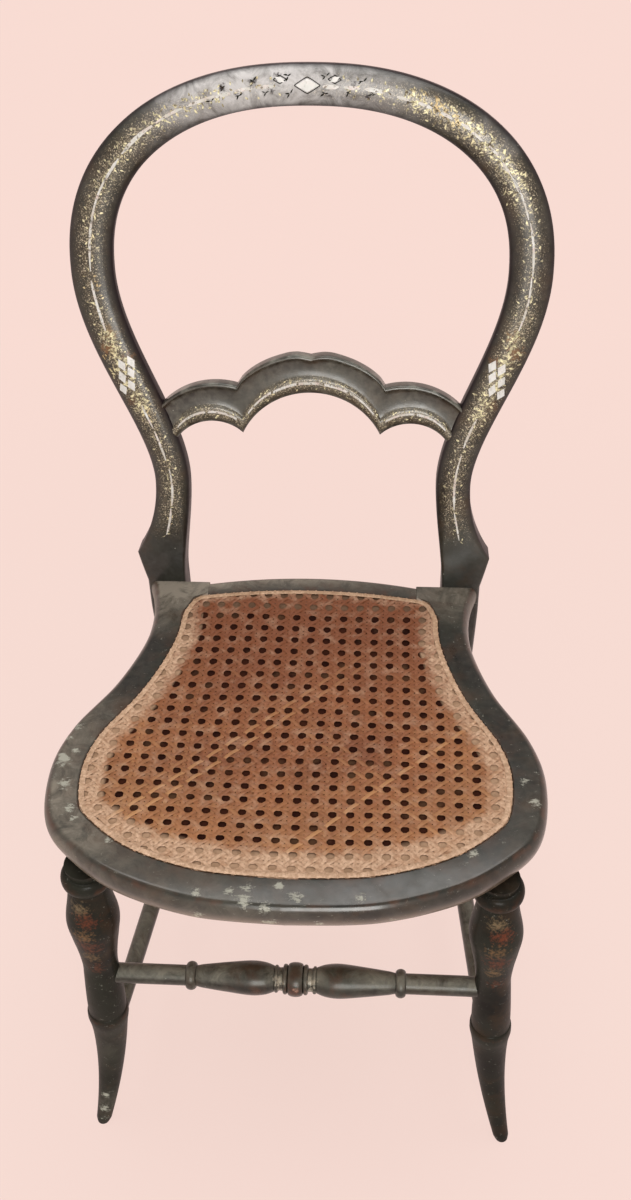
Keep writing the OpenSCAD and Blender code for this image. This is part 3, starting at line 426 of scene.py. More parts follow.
def split_cane(name, pale, dark, rim_share=0.85):
    """Split rattan: long pores, uneven age, paler and dustier at the rim of the seat, the rim a little darker
    on the right as painted shade.
    """
    s = Shader(name)
    age, patch = s.noise(17, 5), s.noise(240, 4)
    tone = s.blend(s.span(age, 0.35, 0.68), pale, dark)
    tone = s.blend(s.span(patch, 0.42, 0.72, 0.0, 0.6), tone, (0.085, 0.022, 0.008))
    tone = s.blend(s.times(s.value("light"), 0.6), tone, (0.52, 0.27, 0.11))
    tone = s.blend(s.value("deep"), tone, dark)
    rim = s.plus(s.value("rim"), s.span(s.noise(75, 4), 0.3, 0.7, -0.38, 0.38), True)
    worn = s.blend(s.span(s.noise(330, 4), 0.36, 0.64), (0.43, 0.27, 0.165), (0.68, 0.47, 0.315))
    tone = s.blend(s.times(rim, rim_share), tone, worn)
    s.set(Base_Color=tone, Roughness=s.span(patch, 0.3, 0.7, 0.42, 0.64), Specular_IOR_Level=0.35)
    s.bump(s.noise(1500, 3), 0.3, 0.0003)
    return s.material


def deep_shade(name):
    """What shows in the eyes of the weave: a painted shade of uneven dark brown, and near the rim a bare wood
    tone painted lighter to offset the shade under the cane.
    """
    s = Shader(name)
    tone = s.blend(s.span(s.noise(60, 5), 0.35, 0.7), (0.018, 0.004, 0.002), (0.050, 0.014, 0.006))
    tone = s.blend(s.span(s.noise(26, 5), 0.54, 0.66, 0.0, 0.5), tone, (0.14, 0.075, 0.038))
    wood = s.blend(s.span(s.noise(200, 4), 0.35, 0.65), (0.46, 0.30, 0.19), (0.34, 0.215, 0.13))
    s.set(Base_Color=s.blend(s.value("rim"), tone, wood), Specular_IOR_Level=0.1,
          Roughness=s.span(s.noise(300, 3), 0.3, 0.7, 0.8, 0.95))
    s.bump(s.noise(500, 3), 0.2, 0.0002)
    return s.material


def bare_beech(name):
    s = Shader(name)
    flecks = s.noise(900, 3, where=s.stretched(1, 1, 0.15))
    tone = s.blend(s.span(flecks, 0.4, 0.65), (0.50, 0.34, 0.20), (0.33, 0.20, 0.11))
    s.set(Base_Color=tone, Roughness=s.span(flecks, 0.3, 0.7, 0.5, 0.7))
    s.bump(flecks, 0.25, 0.0003)
    return s.material


# Side view of the uprights
def leg_share(s):
    return clamp_share((-s - RAIL_THICKNESS) / UNDERSIDE)


def face_y(s):
    if s >= BEND_LENGTH:
        return SEAT_DEPTH + (s - BEND_LENGTH / 2) * math.sin(BACK_RAKE)
    if s >= 0:
        return SEAT_DEPTH + s * s / (2 * BEND_LENGTH) * math.sin(BACK_RAKE)
    return SEAT_DEPTH + REAR_SWEEP * leg_share(s) ** SWEEP_POWER


def face_z(s):
    if s >= BEND_LENGTH:
        return SEAT_HEIGHT + s * math.cos(BACK_RAKE) + BEND_LENGTH / 2 * (1 - math.cos(BACK_RAKE))
    if s >= 0:
        return SEAT_HEIGHT + s - s * s / (2 * BEND_LENGTH) * (1 - math.cos(BACK_RAKE))
    return SEAT_HEIGHT + s


def back_dir(s):
    lean = BACK_RAKE * clamp_share(s / BEND_LENGTH)
    return np.array([0.0, math.cos(lean), -math.sin(lean)])


def on_face(p):
    return np.array([p[0], face_y(p[1]), face_z(p[1])])


# Front view of the hoop
UPRIGHT_IN = UPRIGHT_GAP / 2
SPINE_OUT = BALLOON_WIDTH / 2 - SIDE_FACE / 2
SPINE_RISE = BACK_LENGTH - CREST_FACE / 2 - BALLOON_HEIGHT
WAIST_OUT = WAIST_WIDTH / 2 - WAIST_FACE / 2
HOOP_POWER, WAIST_POWER, SHOULDER_POWER, CROWN_SHARE = 2.265, 0.93, 2.2, 0.46


def lower_x(s):
    """The middle of the face between the waist and the widest place."""
    return mix(WAIST_OUT, SPINE_OUT, ease(ramp(s, WAIST_HEIGHT, BALLOON_HEIGHT) ** WAIST_POWER))


def face_width(v):
    return mix(WAIST_FACE, SIDE_FACE, ease(v)) if v < 1 else mix(SIDE_FACE, CREST_FACE, ease(v - 1))


def shoulder_edges(s):
    if s < SHOULDER_HEIGHT:
        out = mix(UPRIGHT_IN + BLOCK_FACE, SHOULDER_WIDTH / 2, s / SHOULDER_HEIGHT)
    else:
        left = ramp(s, WAIST_HEIGHT, SHOULDER_HEIGHT)
        out = mix(WAIST_WIDTH / 2, SHOULDER_WIDTH / 2, left ** SHOULDER_POWER)
    return np.array([[out, s], [mix(UPRIGHT_IN, WAIST_WIDTH / 2 - WAIST_FACE, ease(s / WAIST_HEIGHT)), s]])


def hoop_edges(v):
    """The outer and inner edge of the hoop's face, as x and s."""
    if v > 2:
        return hoop_edges(4 - v) * [-1, 1]
    if v < 0:
        return shoulder_edges(mix(SHOULDER_HEIGHT, WAIST_HEIGHT, v + 1))
    if v < 1:
        s = mix(WAIST_HEIGHT, BALLOON_HEIGHT, v)
        centre, side = np.array([lower_x(s), s]), unit([1, -(lower_x(s + 1) - lower_x(s - 1)) / 2])
    else:
        c, n = max(math.cos((v - 1) * math.pi / 2), 0), max(math.sin((v - 1) * math.pi / 2), 0)
        power = 2 / HOOP_POWER
        centre = np.array([SPINE_OUT * c ** power, BALLOON_HEIGHT + SPINE_RISE * n ** power])
        side = unit([c ** (2 - power) / SPINE_OUT, n ** (2 - power) / SPINE_RISE])
    half = side * face_width(v) / 2
    return np.array([centre + half, centre - half])


def hoop_thickness(s):
    return mix(BLOCK_THICKNESS, CREST_THICKNESS, ease(s / BALLOON_HEIGHT))


FRONT_STEPS, CORNER_STEPS = 10, 4
FRONT_RIM_FROM, REAR_RIM_FROM, HAZE_REACH = 0.55, 0.1, 0.36


def section(width, depth, rx, ry, rb):
    """Across and into the depth, then how near a point is to a worn corner, and its share of haze."""
    out = []
    for cx, cy, wide, deep, first in (
            (width / 2 - rx, ry, rx, ry, -90), (width / 2 - rb, depth - rb, rb, rb, 0),
            (rb - width / 2, depth - rb, rb, rb, 90), (rx - width / 2, ry, rx, ry, 180)):
        on_front = first in (-90, 180)
        for share in spread(0, 1, FRONT_STEPS if on_front else CORNER_STEPS):
            a = math.radians(first + 90 * share)
            x, sideways = cx + wide * math.cos(a), share if first in (-90, 90) else 1 - share
            edge = 2 * max(sideways - FRONT_RIM_FROM, 0) if on_front else max(sideways - REAR_RIM_FROM, 0)
            haze = clamp_share(1.25 - abs(x) / (HAZE_REACH * width)) if on_front else 0.0
            out.append((x, cy + deep * math.sin(a), edge, haze))
    return out


def ring_on(edges, depth, rx, ry, rb):
    """A ring round the section between two edges: its points, worn corners and haze."""
    outer, inner = on_face(edges[0]), on_face(edges[1])
    across, middle, back = unit(outer - inner), (outer + inner) / 2, back_dir(edges[0][1])
    x, y, edge, haze = zip(*section(np.linalg.norm(outer - inner), depth, rx, ry, rb))
    return [middle + across * a + back * b for a, b in zip(x, y)], edge, haze


def right_haze(v):
    """How thickly gilding and wear lie beside the pearl line, along the hoop's right half."""
    return float(np.interp(v, [-1, -0.75, -0.3, 0.25, 0.35, 0.8, 0.9, 1.15, 1.3, 1.7, 1.85, 2],
                           [0, 0.5, 0.7, 0.6, 1.0, 0.9, 0.45, 0.5, 1.0, 1.0, 0.6, 0.5]))


def left_haze(v):
    return float(np.interp(v, [-1, -0.75, -0.3, 0.25, 0.35, 0.7, 0.9, 1.2, 1.5, 1.8, 2],
                           [0, 0.5, 0.7, 0.6, 1.0, 0.8, 0.5, 0.7, 0.8, 0.6, 0.5]))


def hoop_ring(v, thickly):
    edges = hoop_edges(v)
    s = min(edges[0][1], edges[1][1])
    share = ease(ramp(s, SHOULDER_HEIGHT, WAIST_HEIGHT))
    width = np.linalg.norm(edges[0] - edges[1])
    points, edge, haze = ring_on(edges, hoop_thickness(s), mix(BLOCK_ROUND, CROWN_SHARE * width, share),
                                 mix(BLOCK_ROUND, CROWN_DEPTH, share), mix(BLOCK_ROUND, REAR_ROUND, share))
    return points, edge, [thickly * q for q in haze]


def leg_face(s):
    return mix(BLOCK_FACE, REAR_FOOT_FACE, leg_share(s))


def leg_depth(s):
    return mix(BLOCK_THICKNESS, REAR_FOOT_THICKNESS, leg_share(s))


def leg_ring(s):
    r = mix(BLOCK_ROUND, LEG_ROUND, ease(4 * leg_share(s)))
    return ring_on(np.array([[UPRIGHT_IN + leg_face(s), s], [UPRIGHT_IN, s]]), leg_depth(s), r, r, r)


def block_ring(s):
    return ring_on(shoulder_edges(s), hoop_thickness(s), BLOCK_ROUND, BLOCK_ROUND, BLOCK_ROUND)


def stile(haze):
    plain = [leg_ring(s) for s in spread(-SEAT_HEIGHT, -RAIL_THICKNESS, 30)]
    plain += [block_ring(s) for s in spread(0, SHOULDER_HEIGHT, 6)[:-1]]
    path = spread(-1, 0, 18)[:-1] + spread(0, 1, 40)[:-1] + spread(1, CREST_JOINT, 24)
    clear = [(points, edge, [0.0] * len(edge)) for points, edge, _ in plain]
    return lofted(clear + [hoop_ring(v, haze(v)) for v in path], "edge", "haze")


def crest():
    path = spread(CREST_JOINT, 4 - CREST_JOINT, 90)
    return lofted([hoop_ring(v, right_haze(v) if v < 2 else left_haze(4 - v)) for v in path], "edge", "haze")


def crown_drop(u, width):
    run = clamp_share((abs(u) - width * (0.5 - CROWN_SHARE)) / (CROWN_SHARE * width))
    return CROWN_DEPTH * (1 - math.sqrt(1 - run * run))


def hoop_point(v, u, lift):
    """A point on the moulded face of the hoop, u across from its middle, raised by lift."""
    edges = hoop_edges(v)
    outer, inner = on_face(edges[0]), on_face(edges[1])
    width, back = np.linalg.norm(outer - inner), back_dir(edges[0][1])
    slope = crown_drop(u + 0.5, width) - crown_drop(u - 0.5, width)
    across = (outer - inner) / width
    return (outer + inner) / 2 + across * u + back * crown_drop(u, width) + unit(across * slope - back) * lift


def hoop_speed(v):
    """Millimetres along the hoop for each unit of v."""
    step = 0.01
    a, b = hoop_edges(v - step).mean(0), hoop_edges(v + step).mean(0)
    return np.linalg.norm(b - a) / (2 * step)


# Cross rail
def on_back(x, depth, s):
    c, n = math.cos(BACK_RAKE), math.sin(BACK_RAKE)
    return np.array([x, SEAT_DEPTH - BEND_LENGTH / 2 * n + depth * c + s * n,
                     SEAT_HEIGHT + BEND_LENGTH / 2 * (1 - c) - depth * n + s * c])


VALLEY_OUT, SIDE_ARCH_OUT = CUSP_OUT + LOWER_BAND / 4, SIDE_LOBE_OUT + BEAD_WIDTH


def lobe(x):
    rise = math.sqrt(max(SIDE_LOBE_RADIUS ** 2 - (x - SIDE_LOBE_OUT) ** 2, 0))
    return CROSS_SIDE_TOP - SIDE_LOBE_RADIUS + rise


MIDDLE_LOBE_SHARES = [
    [0, 0.92], [0.1, 0.965], [0.2, 0.985], [0.34, 0.94], [0.58, 0.755], [0.78, 0.51], [0.93, 0.23], [1, 0]]
MIDDLE_LOBE = np.array(curve_through(
    [[q[0] * VALLEY_OUT, mix(lobe(VALLEY_OUT), CROSS_TOP, q[1])] for q in MIDDLE_LOBE_SHARES], 8))


def upper_edge(x):
    return float(np.interp(x, MIDDLE_LOBE[:, 0], MIDDLE_LOBE[:, 1])) if x < VALLEY_OUT else lobe(x)


def arch(x, centre, half, top, rise):
    radius = (half * half + rise * rise) / (2 * rise)
    return top - radius + math.sqrt(radius ** 2 - min(x - centre, 0.9 * radius) ** 2)


def lower_edge(x):
    if x < CUSP_OUT:
        return arch(x, 0, CUSP_OUT, CROSS_ARCH, CROSS_ARCH - CROSS_CUSP)
    return arch(x, SIDE_ARCH_OUT, SIDE_ARCH_OUT - CUSP_OUT, CROSS_SIDE_ARCH, CROSS_SIDE_ARCH - CROSS_CUSP)


def stile_inner(s):
    return lower_x(s) - face_width((s - WAIST_HEIGHT) / (BALLOON_HEIGHT - WAIST_HEIGHT)) / 2


RAIL_END = stile_inner(CROSS_SIDE_ARCH) + HOUSING_DEPTH
CROSS_FRONT, CROSS_BACK = CROSS_SET_BACK, CROSS_SET_BACK + CROSS_THICKNESS
EDGE_TONE_REACH = 3.5


def band_at(x):
    return min(LOWER_BAND, 0.5 * (upper_edge(abs(x)) - lower_edge(abs(x))))


def cross_ring(x):
    """The rail's section: a bead along the top, a hollow, and a rounded band along the bottom."""
    lo, hi = lower_edge(abs(x)), upper_edge(abs(x))
    bead, band = min(BEAD_WIDTH, 0.15 * (hi - lo)), band_at(x)
    hollow_lo, hollow_hi, band_crest = lo + band, hi - bead * 1.2, lo + band * BAND_CREST_SHARE
    front = curve_through([[CROSS_FRONT + HOLLOW_DEPTH * sunk, level] for sunk, level in (
        (1.2, hi), (0.4, hi - bead * 0.1), (0, hi - bead * 0.5), (0.2, hi - bead * 0.8),
        (1, hollow_hi), (1.3, (hollow_lo + hollow_hi) / 2), (1, hollow_lo),
        (0.2, lo + band * 0.84), (0, band_crest), (0.5, lo + band * 0.24), (1.6, lo))], 4)
    whole = [[CROSS_BACK, hi - HOLLOW_DEPTH], [CROSS_BACK - HOLLOW_DEPTH, hi], *front, [CROSS_BACK, lo]]
    # The rail's edges are lightened: partly wear, partly a painted highlight along the top bead.
    worn = [clamp_share(1 - min(hi - q[1], q[1] - lo) / EDGE_TONE_REACH) for q in front]
    haze = [0.9 * clamp_share(1.3 - abs(q[1] - band_crest) / (0.4 * band)) for q in front]
    return [on_back(x, *q) for q in whole], [0.2, 0.5, *worn, 0.2], [0, 0, *haze, 0]


def cross_rail():
    half = spread(0, CUSP_OUT, 44) + spread(VALLEY_OUT, RAIL_END, 40)
    return lofted([cross_ring(x) for x in [-x for x in reversed(half)] + half[1:]], "edge", "haze")


def cross_band_point(x, w, lift):
    """A point on the rail's lower band: w up from the band's middle."""
    level = lower_edge(abs(x)) + band_at(x) * BAND_CREST_SHARE + w
    return on_back(x, CROSS_FRONT + 0.0045 * w * w - lift, level)


# Seat
SEAT_OUTLINE_SHARES = [
    [0, 0], [0.345, 0.013], [0.647, 0.066], [0.85, 0.143], [0.966, 0.226], [0.9975, 0.3675],
    [0.947, 0.49], [0.818, 0.627], [0.739, 0.757], [0.716, 0.852], [0.735, 0.95], [0.8, 1.06]]
SEAT_HALF = np.array(curve_through(
    [[out * SEAT_WIDTH / 2, back * SEAT_DEPTH] for out, back in SEAT_OUTLINE_SHARES], 12))
CANE_REAR, CANE_BOW = SEAT_DEPTH - BAND_WIDTH * 0.8, REAR_BOW * 1.2
OPENING_REAR = CANE_REAR + CANE_BOW * 0.6 - LEDGE_WIDTH
PEG_PROUD = 0.05  # the ledge lies this much lower than the flush ends of the cane's pegs
LEDGE_LEVEL = SEAT_HEIGHT - CANE_THICKNESS - PEG_PROUD
ARRIS, INNER_ARRIS = 0.7, 0.6


def inward(i):
    a = SEAT_HALF[1] * [-1, 1] if i == 0 else SEAT_HALF[i - 1]
    t = unit(SEAT_HALF[min(i + 1, len(SEAT_HALF) - 1)] - a)
    return np.array([-t[1], t[0]])


INWARD = np.array([inward(i) for i in range(len(SEAT_HALF))])


def inset_half(d):
    return SEAT_HALF + INWARD * d


def cane_side(d):
    """The side of the cane's outline, inset by d, up to the corner where it turns across the rear."""
    return [p for p in inset_half(BAND_WIDTH + d) if p[1] < CANE_REAR - LEDGE_WIDTH]


REAR_JOINT_OUT = [p for p in inset_half(BAND_WIDTH + LEDGE_WIDTH) if p[1] < OPENING_REAR][-1][0]
CANE_CORNER = cane_side(0.0)[-1][0]
JOINT_STATION = int(np.argmax(SEAT_HALF[:, 1] >= CORNER_JOINT_BACK))
REAR_STATION = int(np.argmax(SEAT_HALF[:, 1] >= SEAT_DEPTH))


def ledge_back(x):
    """Where the sunk ledge ends at the rear, bowed like the rear rail."""
    return CANE_REAR + CANE_BOW * (1 - (x / CANE_CORNER) ** 2)


def cane_outline(d):
    """The rim of the sunk cane, inset by d, from the front's middle round the right to the rear's middle."""
    side = cane_side(d)
    corner = side[-1][0]
    return np.array(side + [[x, CANE_REAR - d + CANE_BOW * (1 - (x / corner) ** 2)]
                            for x in spread(corner - LEDGE_WIDTH * 0.4, 0, 12)])


CANE_EDGE = cane_outline(0.0)


def edge_section(ledge_from, inner):
    """The seat rail's section, as inset, height, wear and bare wood: rounded edge, painted band,
    ledge, inside. Where there is no ledge, the painted top runs on to the inner side."""
    top, under = [], []
    for share in spread(0, 1, 10):
        c, n = math.cos(math.pi / 2 * share), math.sin(math.pi / 2 * share)
        worn = clamp_share(1 - abs(share - 0.35) * 3)
        top.append([EDGE_ROUND_IN * (1 - n), SEAT_HEIGHT - EDGE_ROUND_TOP * (1 - c), worn, 0.0])
        drop = EDGE_ROUND_TOP + (RAIL_THICKNESS - EDGE_ROUND_TOP) * n
        under.append([EDGE_UNDER * (1 - c), SEAT_HEIGHT - drop, 0.0, 0.6 * share])
    bare, ledge = (1, LEDGE_LEVEL) if ledge_from else (0, SEAT_HEIGHT - 0.04)
    start = ledge_from or inner - 1.5
    inside = [[inner - INNER_ARRIS, UNDERSIDE, 0, 1], [inner, UNDERSIDE + INNER_ARRIS, 0, 1],
              [inner, ledge - INNER_ARRIS, 0, bare], [inner - INNER_ARRIS, ledge, 0, bare],
              [start + 0.3, ledge, 0, bare], [start, SEAT_HEIGHT - ARRIS * bare, bare, 0],
              [start - ARRIS, SEAT_HEIGHT - 0.05 * bare, bare, 0], [start - 2.0, SEAT_HEIGHT, 0.4 * bare, 0]]
    return under + inside + top[:-1]


def ledge_start(base, n):
    """How far in from the outline the cane's edge lies, or 0 behind the cane."""
    if base[1] < CANE_REAR - LEDGE_WIDTH:
        return BAND_WIDTH
    for a, b in zip(CANE_EDGE, CANE_EDGE[1:]):
        run, rel = a - b, a - base
        turn = n[0] * run[1] - n[1] * run[0]
        if abs(turn) > 1e-9:
            t = (rel[0] * run[1] - rel[1] * run[0]) / turn
            u = (n[0] * rel[1] - n[1] * rel[0]) / turn
            if 0 <= u <= 1 and BAND_WIDTH - 4 < t < BAND_WIDTH + LEDGE_WIDTH - 3:
                return t
    return 0.0


def seat_ring(i, sign=1):
    base, n, inner = SEAT_HALF[i], INWARD[i], BAND_WIDTH + LEDGE_WIDTH
    if base[1] + n[1] * inner > OPENING_REAR:
        inner = (base[0] - REAR_JOINT_OUT) / -n[0]
    inset, level, worn, bare = zip(*edge_section(ledge_start(base, n), inner))
    points = [np.array([sign * (base[0] + n[0] * d), min(base[1] + n[1] * d, SEAT_DEPTH), z])
              for d, z in zip(inset, level)]
    return points, worn, bare


def front_seat_rail():
    left = [seat_ring(i, -1) for i in range(JOINT_STATION, 0, -1)]
    return lofted(left + [seat_ring(i) for i in range(JOINT_STATION + 1)], "edge", "bare")


def side_seat_rail():
    return lofted([seat_ring(i) for i in range(JOINT_STATION, REAR_STATION + 1)], "edge", "bare")


def rear_ring(x):
    back, ledge = SEAT_DEPTH + REAR_BOW * (1 - (x / REAR_JOINT_OUT) ** 2), ledge_back(x)
    parts = [(OPENING_REAR, UNDERSIDE, 0, 1)]
    for level, first in ((UNDERSIDE + REAR_ROUND, -90), (SEAT_HEIGHT - REAR_ROUND, 0)):
        for k in range(7):
            a = math.radians(first + 15 * k)
            worn = clamp_share(1 - abs(k - 3) / 3) if first == 0 else 0
            parts.append((back - REAR_ROUND * (1 - math.cos(a)), level + REAR_ROUND * math.sin(a), worn, 0))
    parts += [(ledge + ARRIS, SEAT_HEIGHT, 1, 0), (ledge, SEAT_HEIGHT - ARRIS, 1, 0),
              (ledge - 0.3, LEDGE_LEVEL, 0, 0.4), (OPENING_REAR, LEDGE_LEVEL, 0, 0.4)]
    y, z, worn, bare = zip(*parts)
    return [np.array([x, *q]) for q in zip(y, z)], worn, bare


def rear_seat_rail():
    return lofted([rear_ring(x) for x in spread(-REAR_JOINT_OUT, REAR_JOINT_OUT, 40)], "edge", "bare")


# Cane
def both_halves(half):
    return np.array(list(half) + [[-p[0], p[1]] for p in half[-2:0:-1]])


def rounded(line, spacing=4.1):
    """A closed line as evenly spaced points, its corners a little softened."""
    closed = np.vstack([line, line[:1]])
    travelled = np.concatenate([[0], np.cumsum(np.linalg.norm(np.diff(closed, axis=0), axis=1))])
    at = np.linspace(0, travelled[-1], 2 * int(travelled[-1] / spacing / 2), endpoint=False)
    points = np.stack([np.interp(at, travelled, closed[:, 0]), np.interp(at, travelled, closed[:, 1])], 1)
    for _ in range(3):
        points = 0.25 * np.roll(points, 1, 0) + 0.5 * points + 0.25 * np.roll(points, -1, 0)
    return points


STRAND_END_INSET, RIM_SOFTNESS = 1.2, 10.0
RIM = rounded(both_halves(cane_outline(STRAND_END_INSET)))
RIM_DISTANCE_LINE = both_halves(CANE_EDGE)
STRAND_WIDTH, STRAND_THICKNESS, PAIR_HALF, WEAVE_RISE = 3.6, 0.75, 2.25, 0.42
DIAGONAL_WIDTH, STRAND_STEPS, SHORTEST_RUN = 3.5, 7, 6
STRAND_SECTION = ((-0.5, 0.1), (-0.28, -0.5), (0.28, -0.5), (0.5, 0.1), (0.3, 0.45), (-0.3, 0.45))
CANE_LEVEL = SEAT_HEIGHT - 0.95
# The hand weave's own spacing: its rows open a little towards the back
WEAVE_PITCH, WEAVE_X, WEAVE_Y, ROW_OPENING = 15.26, 3.2, 201.2, 0.065
WEAVE_COLUMNS, WEAVE_ROWS, LIGHT_DIAGONALS = 15, (-14, 13), (-3, -2, 9)


def weave_point(i, j):
    """A place in the weave: eyes lie at whole numbers, pairs of strands midway between them."""
    x = WEAVE_X + WEAVE_PITCH * i + 0.6 * math.sin(0.55 * j + 0.21 * i)
    y = WEAVE_Y + WEAVE_PITCH * j + ROW_OPENING * j * j + 0.7 * math.sin(0.47 * i + 0.3 * j + 1.0)
    return np.array([x, y])


def border_width(y):
    """How far in from its edge the cane lies over wood and looks pale: most at the front."""
    return float(np.interp(y, [70, 110, 330, 375], [27, 19, 18, 9]))


def rim_distance(points):
    """How far points lie from the cane's edge, in millimetres."""
    a, b = RIM_DISTANCE_LINE, np.roll(RIM_DISTANCE_LINE, -1, 0)
    ab, p = b - a, np.asarray(points)[:, None, :]
    t = np.clip(((p - a) * ab).sum(2) / (ab ** 2).sum(1), 0, 1)
    return np.linalg.norm(p - (a + ab * t[..., None]), axis=2).min(1)


def inside_rim(points):
    """Which points lie inside the cane's rim, by the even number of crossings rule."""
    p, a, b = np.asarray(points)[:, None, :], RIM, np.roll(RIM, -1, 0)
    spans = (a[:, 1] > p[..., 1]) != (b[:, 1] > p[..., 1])
    rise = np.where(b[:, 1] == a[:, 1], 1.0, b[:, 1] - a[:, 1])
    cross = a[:, 0] + (p[..., 1] - a[:, 1]) * (b[:, 0] - a[:, 0]) / rise
    return (spans & (p[..., 0] < cross)).sum(1) % 2 == 1


def to_rim(inner, outer):
    """The rim's place between a point inside it and one outside, or nothing where that is too near."""
    start = inner
    for _ in range(8):
        middle = (inner + outer) / 2
        if inside_rim([middle])[0]:
            inner = middle
        else:
            outer = middle
    return [inner] if np.linalg.norm(inner - start) > 0.2 else []


def runs_inside(points):
    """The stretches of a line of points that lie inside the rim, each taken up to the rim itself."""
    inside = inside_rim(points)
    runs, run = [], []
    for k, p in enumerate(points):
        if inside[k]:
            if not run and k:
                run = to_rim(p, points[k - 1])
            run.append(p)
        elif run:
            runs.append(run + to_rim(run[-1], p))
            run = []
    return [r for r in runs if len(r) > SHORTEST_RUN]


def rim_pale_share(p):
    """How pale the cane's rim is at a place: least at the back, and a little less on the right, a painted
    shade for the side away from the light.
    """
    return 1 - 0.45 * ramp(p[1], 300, 380) - 0.16 * ramp(p[0], 0, 120)


def golden(p):
    """How golden the cane is at a place, beyond its own lightness: most at the front and the sides."""
    return 0.45 * ramp(p[1], 150, 40) + 0.3 * ramp(abs(p[0]), 85, 155)


def deepened(p):
    """How much darker the cane is made at a place: most at the back."""
    return 0.95 * ramp(p[1], 170, 320)


def strand(build, line, level, width, light, shift=0.0):
    """One flat strand with a crowned top along a line of weave places, moved sideways by shift."""
    places = [weave_point(*q) for q in line]
    ways = [unit(b - a) for a, b in zip(places[:1] + places[:-1], places[1:] + places[-1:])]
    sway, turn = random.uniform(0.0, 0.3), random.uniform(0, FULL_TURN)
    moved = [p + np.array([-w[1], w[0]]) * (shift + sway * math.sin(k / 17 + turn))
             for k, (p, w) in enumerate(zip(places, ways))]
    heights = {tuple(p): level(*q) for p, q in zip(moved, line)}
    n = len(STRAND_SECTION)
    for run in runs_inside(moved):
        pale_to = np.array([border_width(p[1]) for p in run])
        rim = np.clip(0.5 - (rim_distance(run) - pale_to) / RIM_SOFTNESS, 0, 1) * [rim_pale_share(p) for p in run]
        rings = []
        for p, before, after in zip(run, run[:1] + run[:-1], run[1:] + run[-1:]):
            way, z = unit(after - before), CANE_LEVEL + heights.get(tuple(p), 0.0)
            across = np.array([-way[1], way[0]]) * width
            rings.append([np.array([*(p + across * q), z + h * STRAND_THICKNESS]) for q, h in STRAND_SECTION])
        build.skin(rings, rim=evenly(rim.tolist(), n), light=evenly([light + golden(p) for p in run], n),
                   deep=evenly([deepened(p) for p in run], n))


def wave(offset, sign):
    """Height of a paired strand near a crossing: over one of the pair and under the other."""
    reach = 2 * PAIR_HALF / WEAVE_PITCH
    return sign * WEAVE_RISE * math.sin(math.pi * offset / reach) if abs(offset) < reach else 0.0


def from_pair(value):
    """How far a weave measure lies from the nearest pair of strands, in pitches."""
    return (value % 1.0) - 0.5


def pair(build, line, level):
    """Two strands side by side; level(i, j, side) is the height of each."""
    for side in (-1, 1):
        strand(build, line, lambda i, j, side=side: level(i, j, side), STRAND_WIDTH,
               random.random() ** 4 * 0.5, side * PAIR_HALF)


def cane_pairs():
    build = Build()
    first, last = WEAVE_ROWS
    lengthwise = spread(first, last, (last - first) * STRAND_STEPS)
    crosswise = spread(-WEAVE_COLUMNS, WEAVE_COLUMNS, 2 * WEAVE_COLUMNS * STRAND_STEPS)
    for column in range(-WEAVE_COLUMNS, WEAVE_COLUMNS):
        pair(build, [(column + 0.5, t) for t in lengthwise], lambda i, j, side: wave(from_pair(j), -side))
    for row in range(first, last):
        pair(build, [(t, row + 0.5) for t in crosswise], lambda i, j, side: wave(from_pair(i), side))
    return build


def cane_diagonals():
    """Diagonals cross on the pairs, midway between the open eyes' corners, so that the eyes stay open."""
    build = Build()
    first, last = WEAVE_ROWS
    for sign in (-1, 1):
        for k in range(-WEAVE_COLUMNS - last, WEAVE_COLUMNS + last + 1):
            line = [(k + 0.5 + sign * t, t) for t in spread(first, last, (last - first) * STRAND_STEPS)]
            light = 0.9 if sign > 0 and k in LIGHT_DIAGONALS else 0.05 + 0.4 * random.random() ** 3
            strand(build, line, lambda i, j: 0.3 + sign * WEAVE_RISE * 1.25 * math.cos(2 * math.pi * i),
                   DIAGONAL_WIDTH, light)
    return build


def shade_outline(inset, back):
    """An outline under the weave: inset(y) inside the cane's edge, and back(x) behind."""
    half = [p + n * (BAND_WIDTH + inset((p + n * BAND_WIDTH)[1])) for p, n in zip(SEAT_HALF, INWARD)
            if (p + n * (BAND_WIDTH + LEDGE_WIDTH))[1] < OPENING_REAR - 4]
    return both_halves(half + [np.array([x, back(x)]) for x in spread(half[-1][0], 0, 6)])


def shade_layer():
    """A thin sheet under the weave that paints the shade in its eyes: dark in the middle, and near its edge a
    wood tone painted lighter to offset the shade under the cane.
    """
    def below(change, rear):
        return shade_outline(lambda y: max(border_width(y) + change, LEDGE_WIDTH - 2), lambda x: rear)

    edge = shade_outline(lambda y: 2.0, lambda x: ledge_back(x) - 0.8)
    pale_end, dark_start = below(-4, OPENING_REAR + 1.0), below(4, OPENING_REAR - 1.5)
    low, high = SEAT_HEIGHT - CANE_THICKNESS + 0.02, SEAT_HEIGHT - CANE_THICKNESS + 0.59
    rings = []
    for line, level, pale, fading in (
            (edge, low, 1.0, 0.0), (edge, high, 1.0, 0.7),
            (pale_end, high, 1.0, 0.7), (dark_start, low + 0.12, 0.0, 0.0)):
        rings.append(([[*p, level] for p in line],
                      [pale * (1 - fading * ramp(p[1], 290, 360)) for p in line]))
    return lofted(rings, "rim")


BINDER_INSET, LOOP_REACH, LOOP_LIFT = 0.6, 0.52, 0.7
BINDER_SECTION = ((-0.5, 0.05), (-0.5, 0.45), (-0.25, 0.8), (0.25, 0.8), (0.5, 0.45), (0.5, 0.05))
LOOP_SECTION = ((-1.0, 0), (-0.5, -0.3), (0.5, -0.3), (1.0, 0), (0.5, 0.3), (-0.5, 0.3))


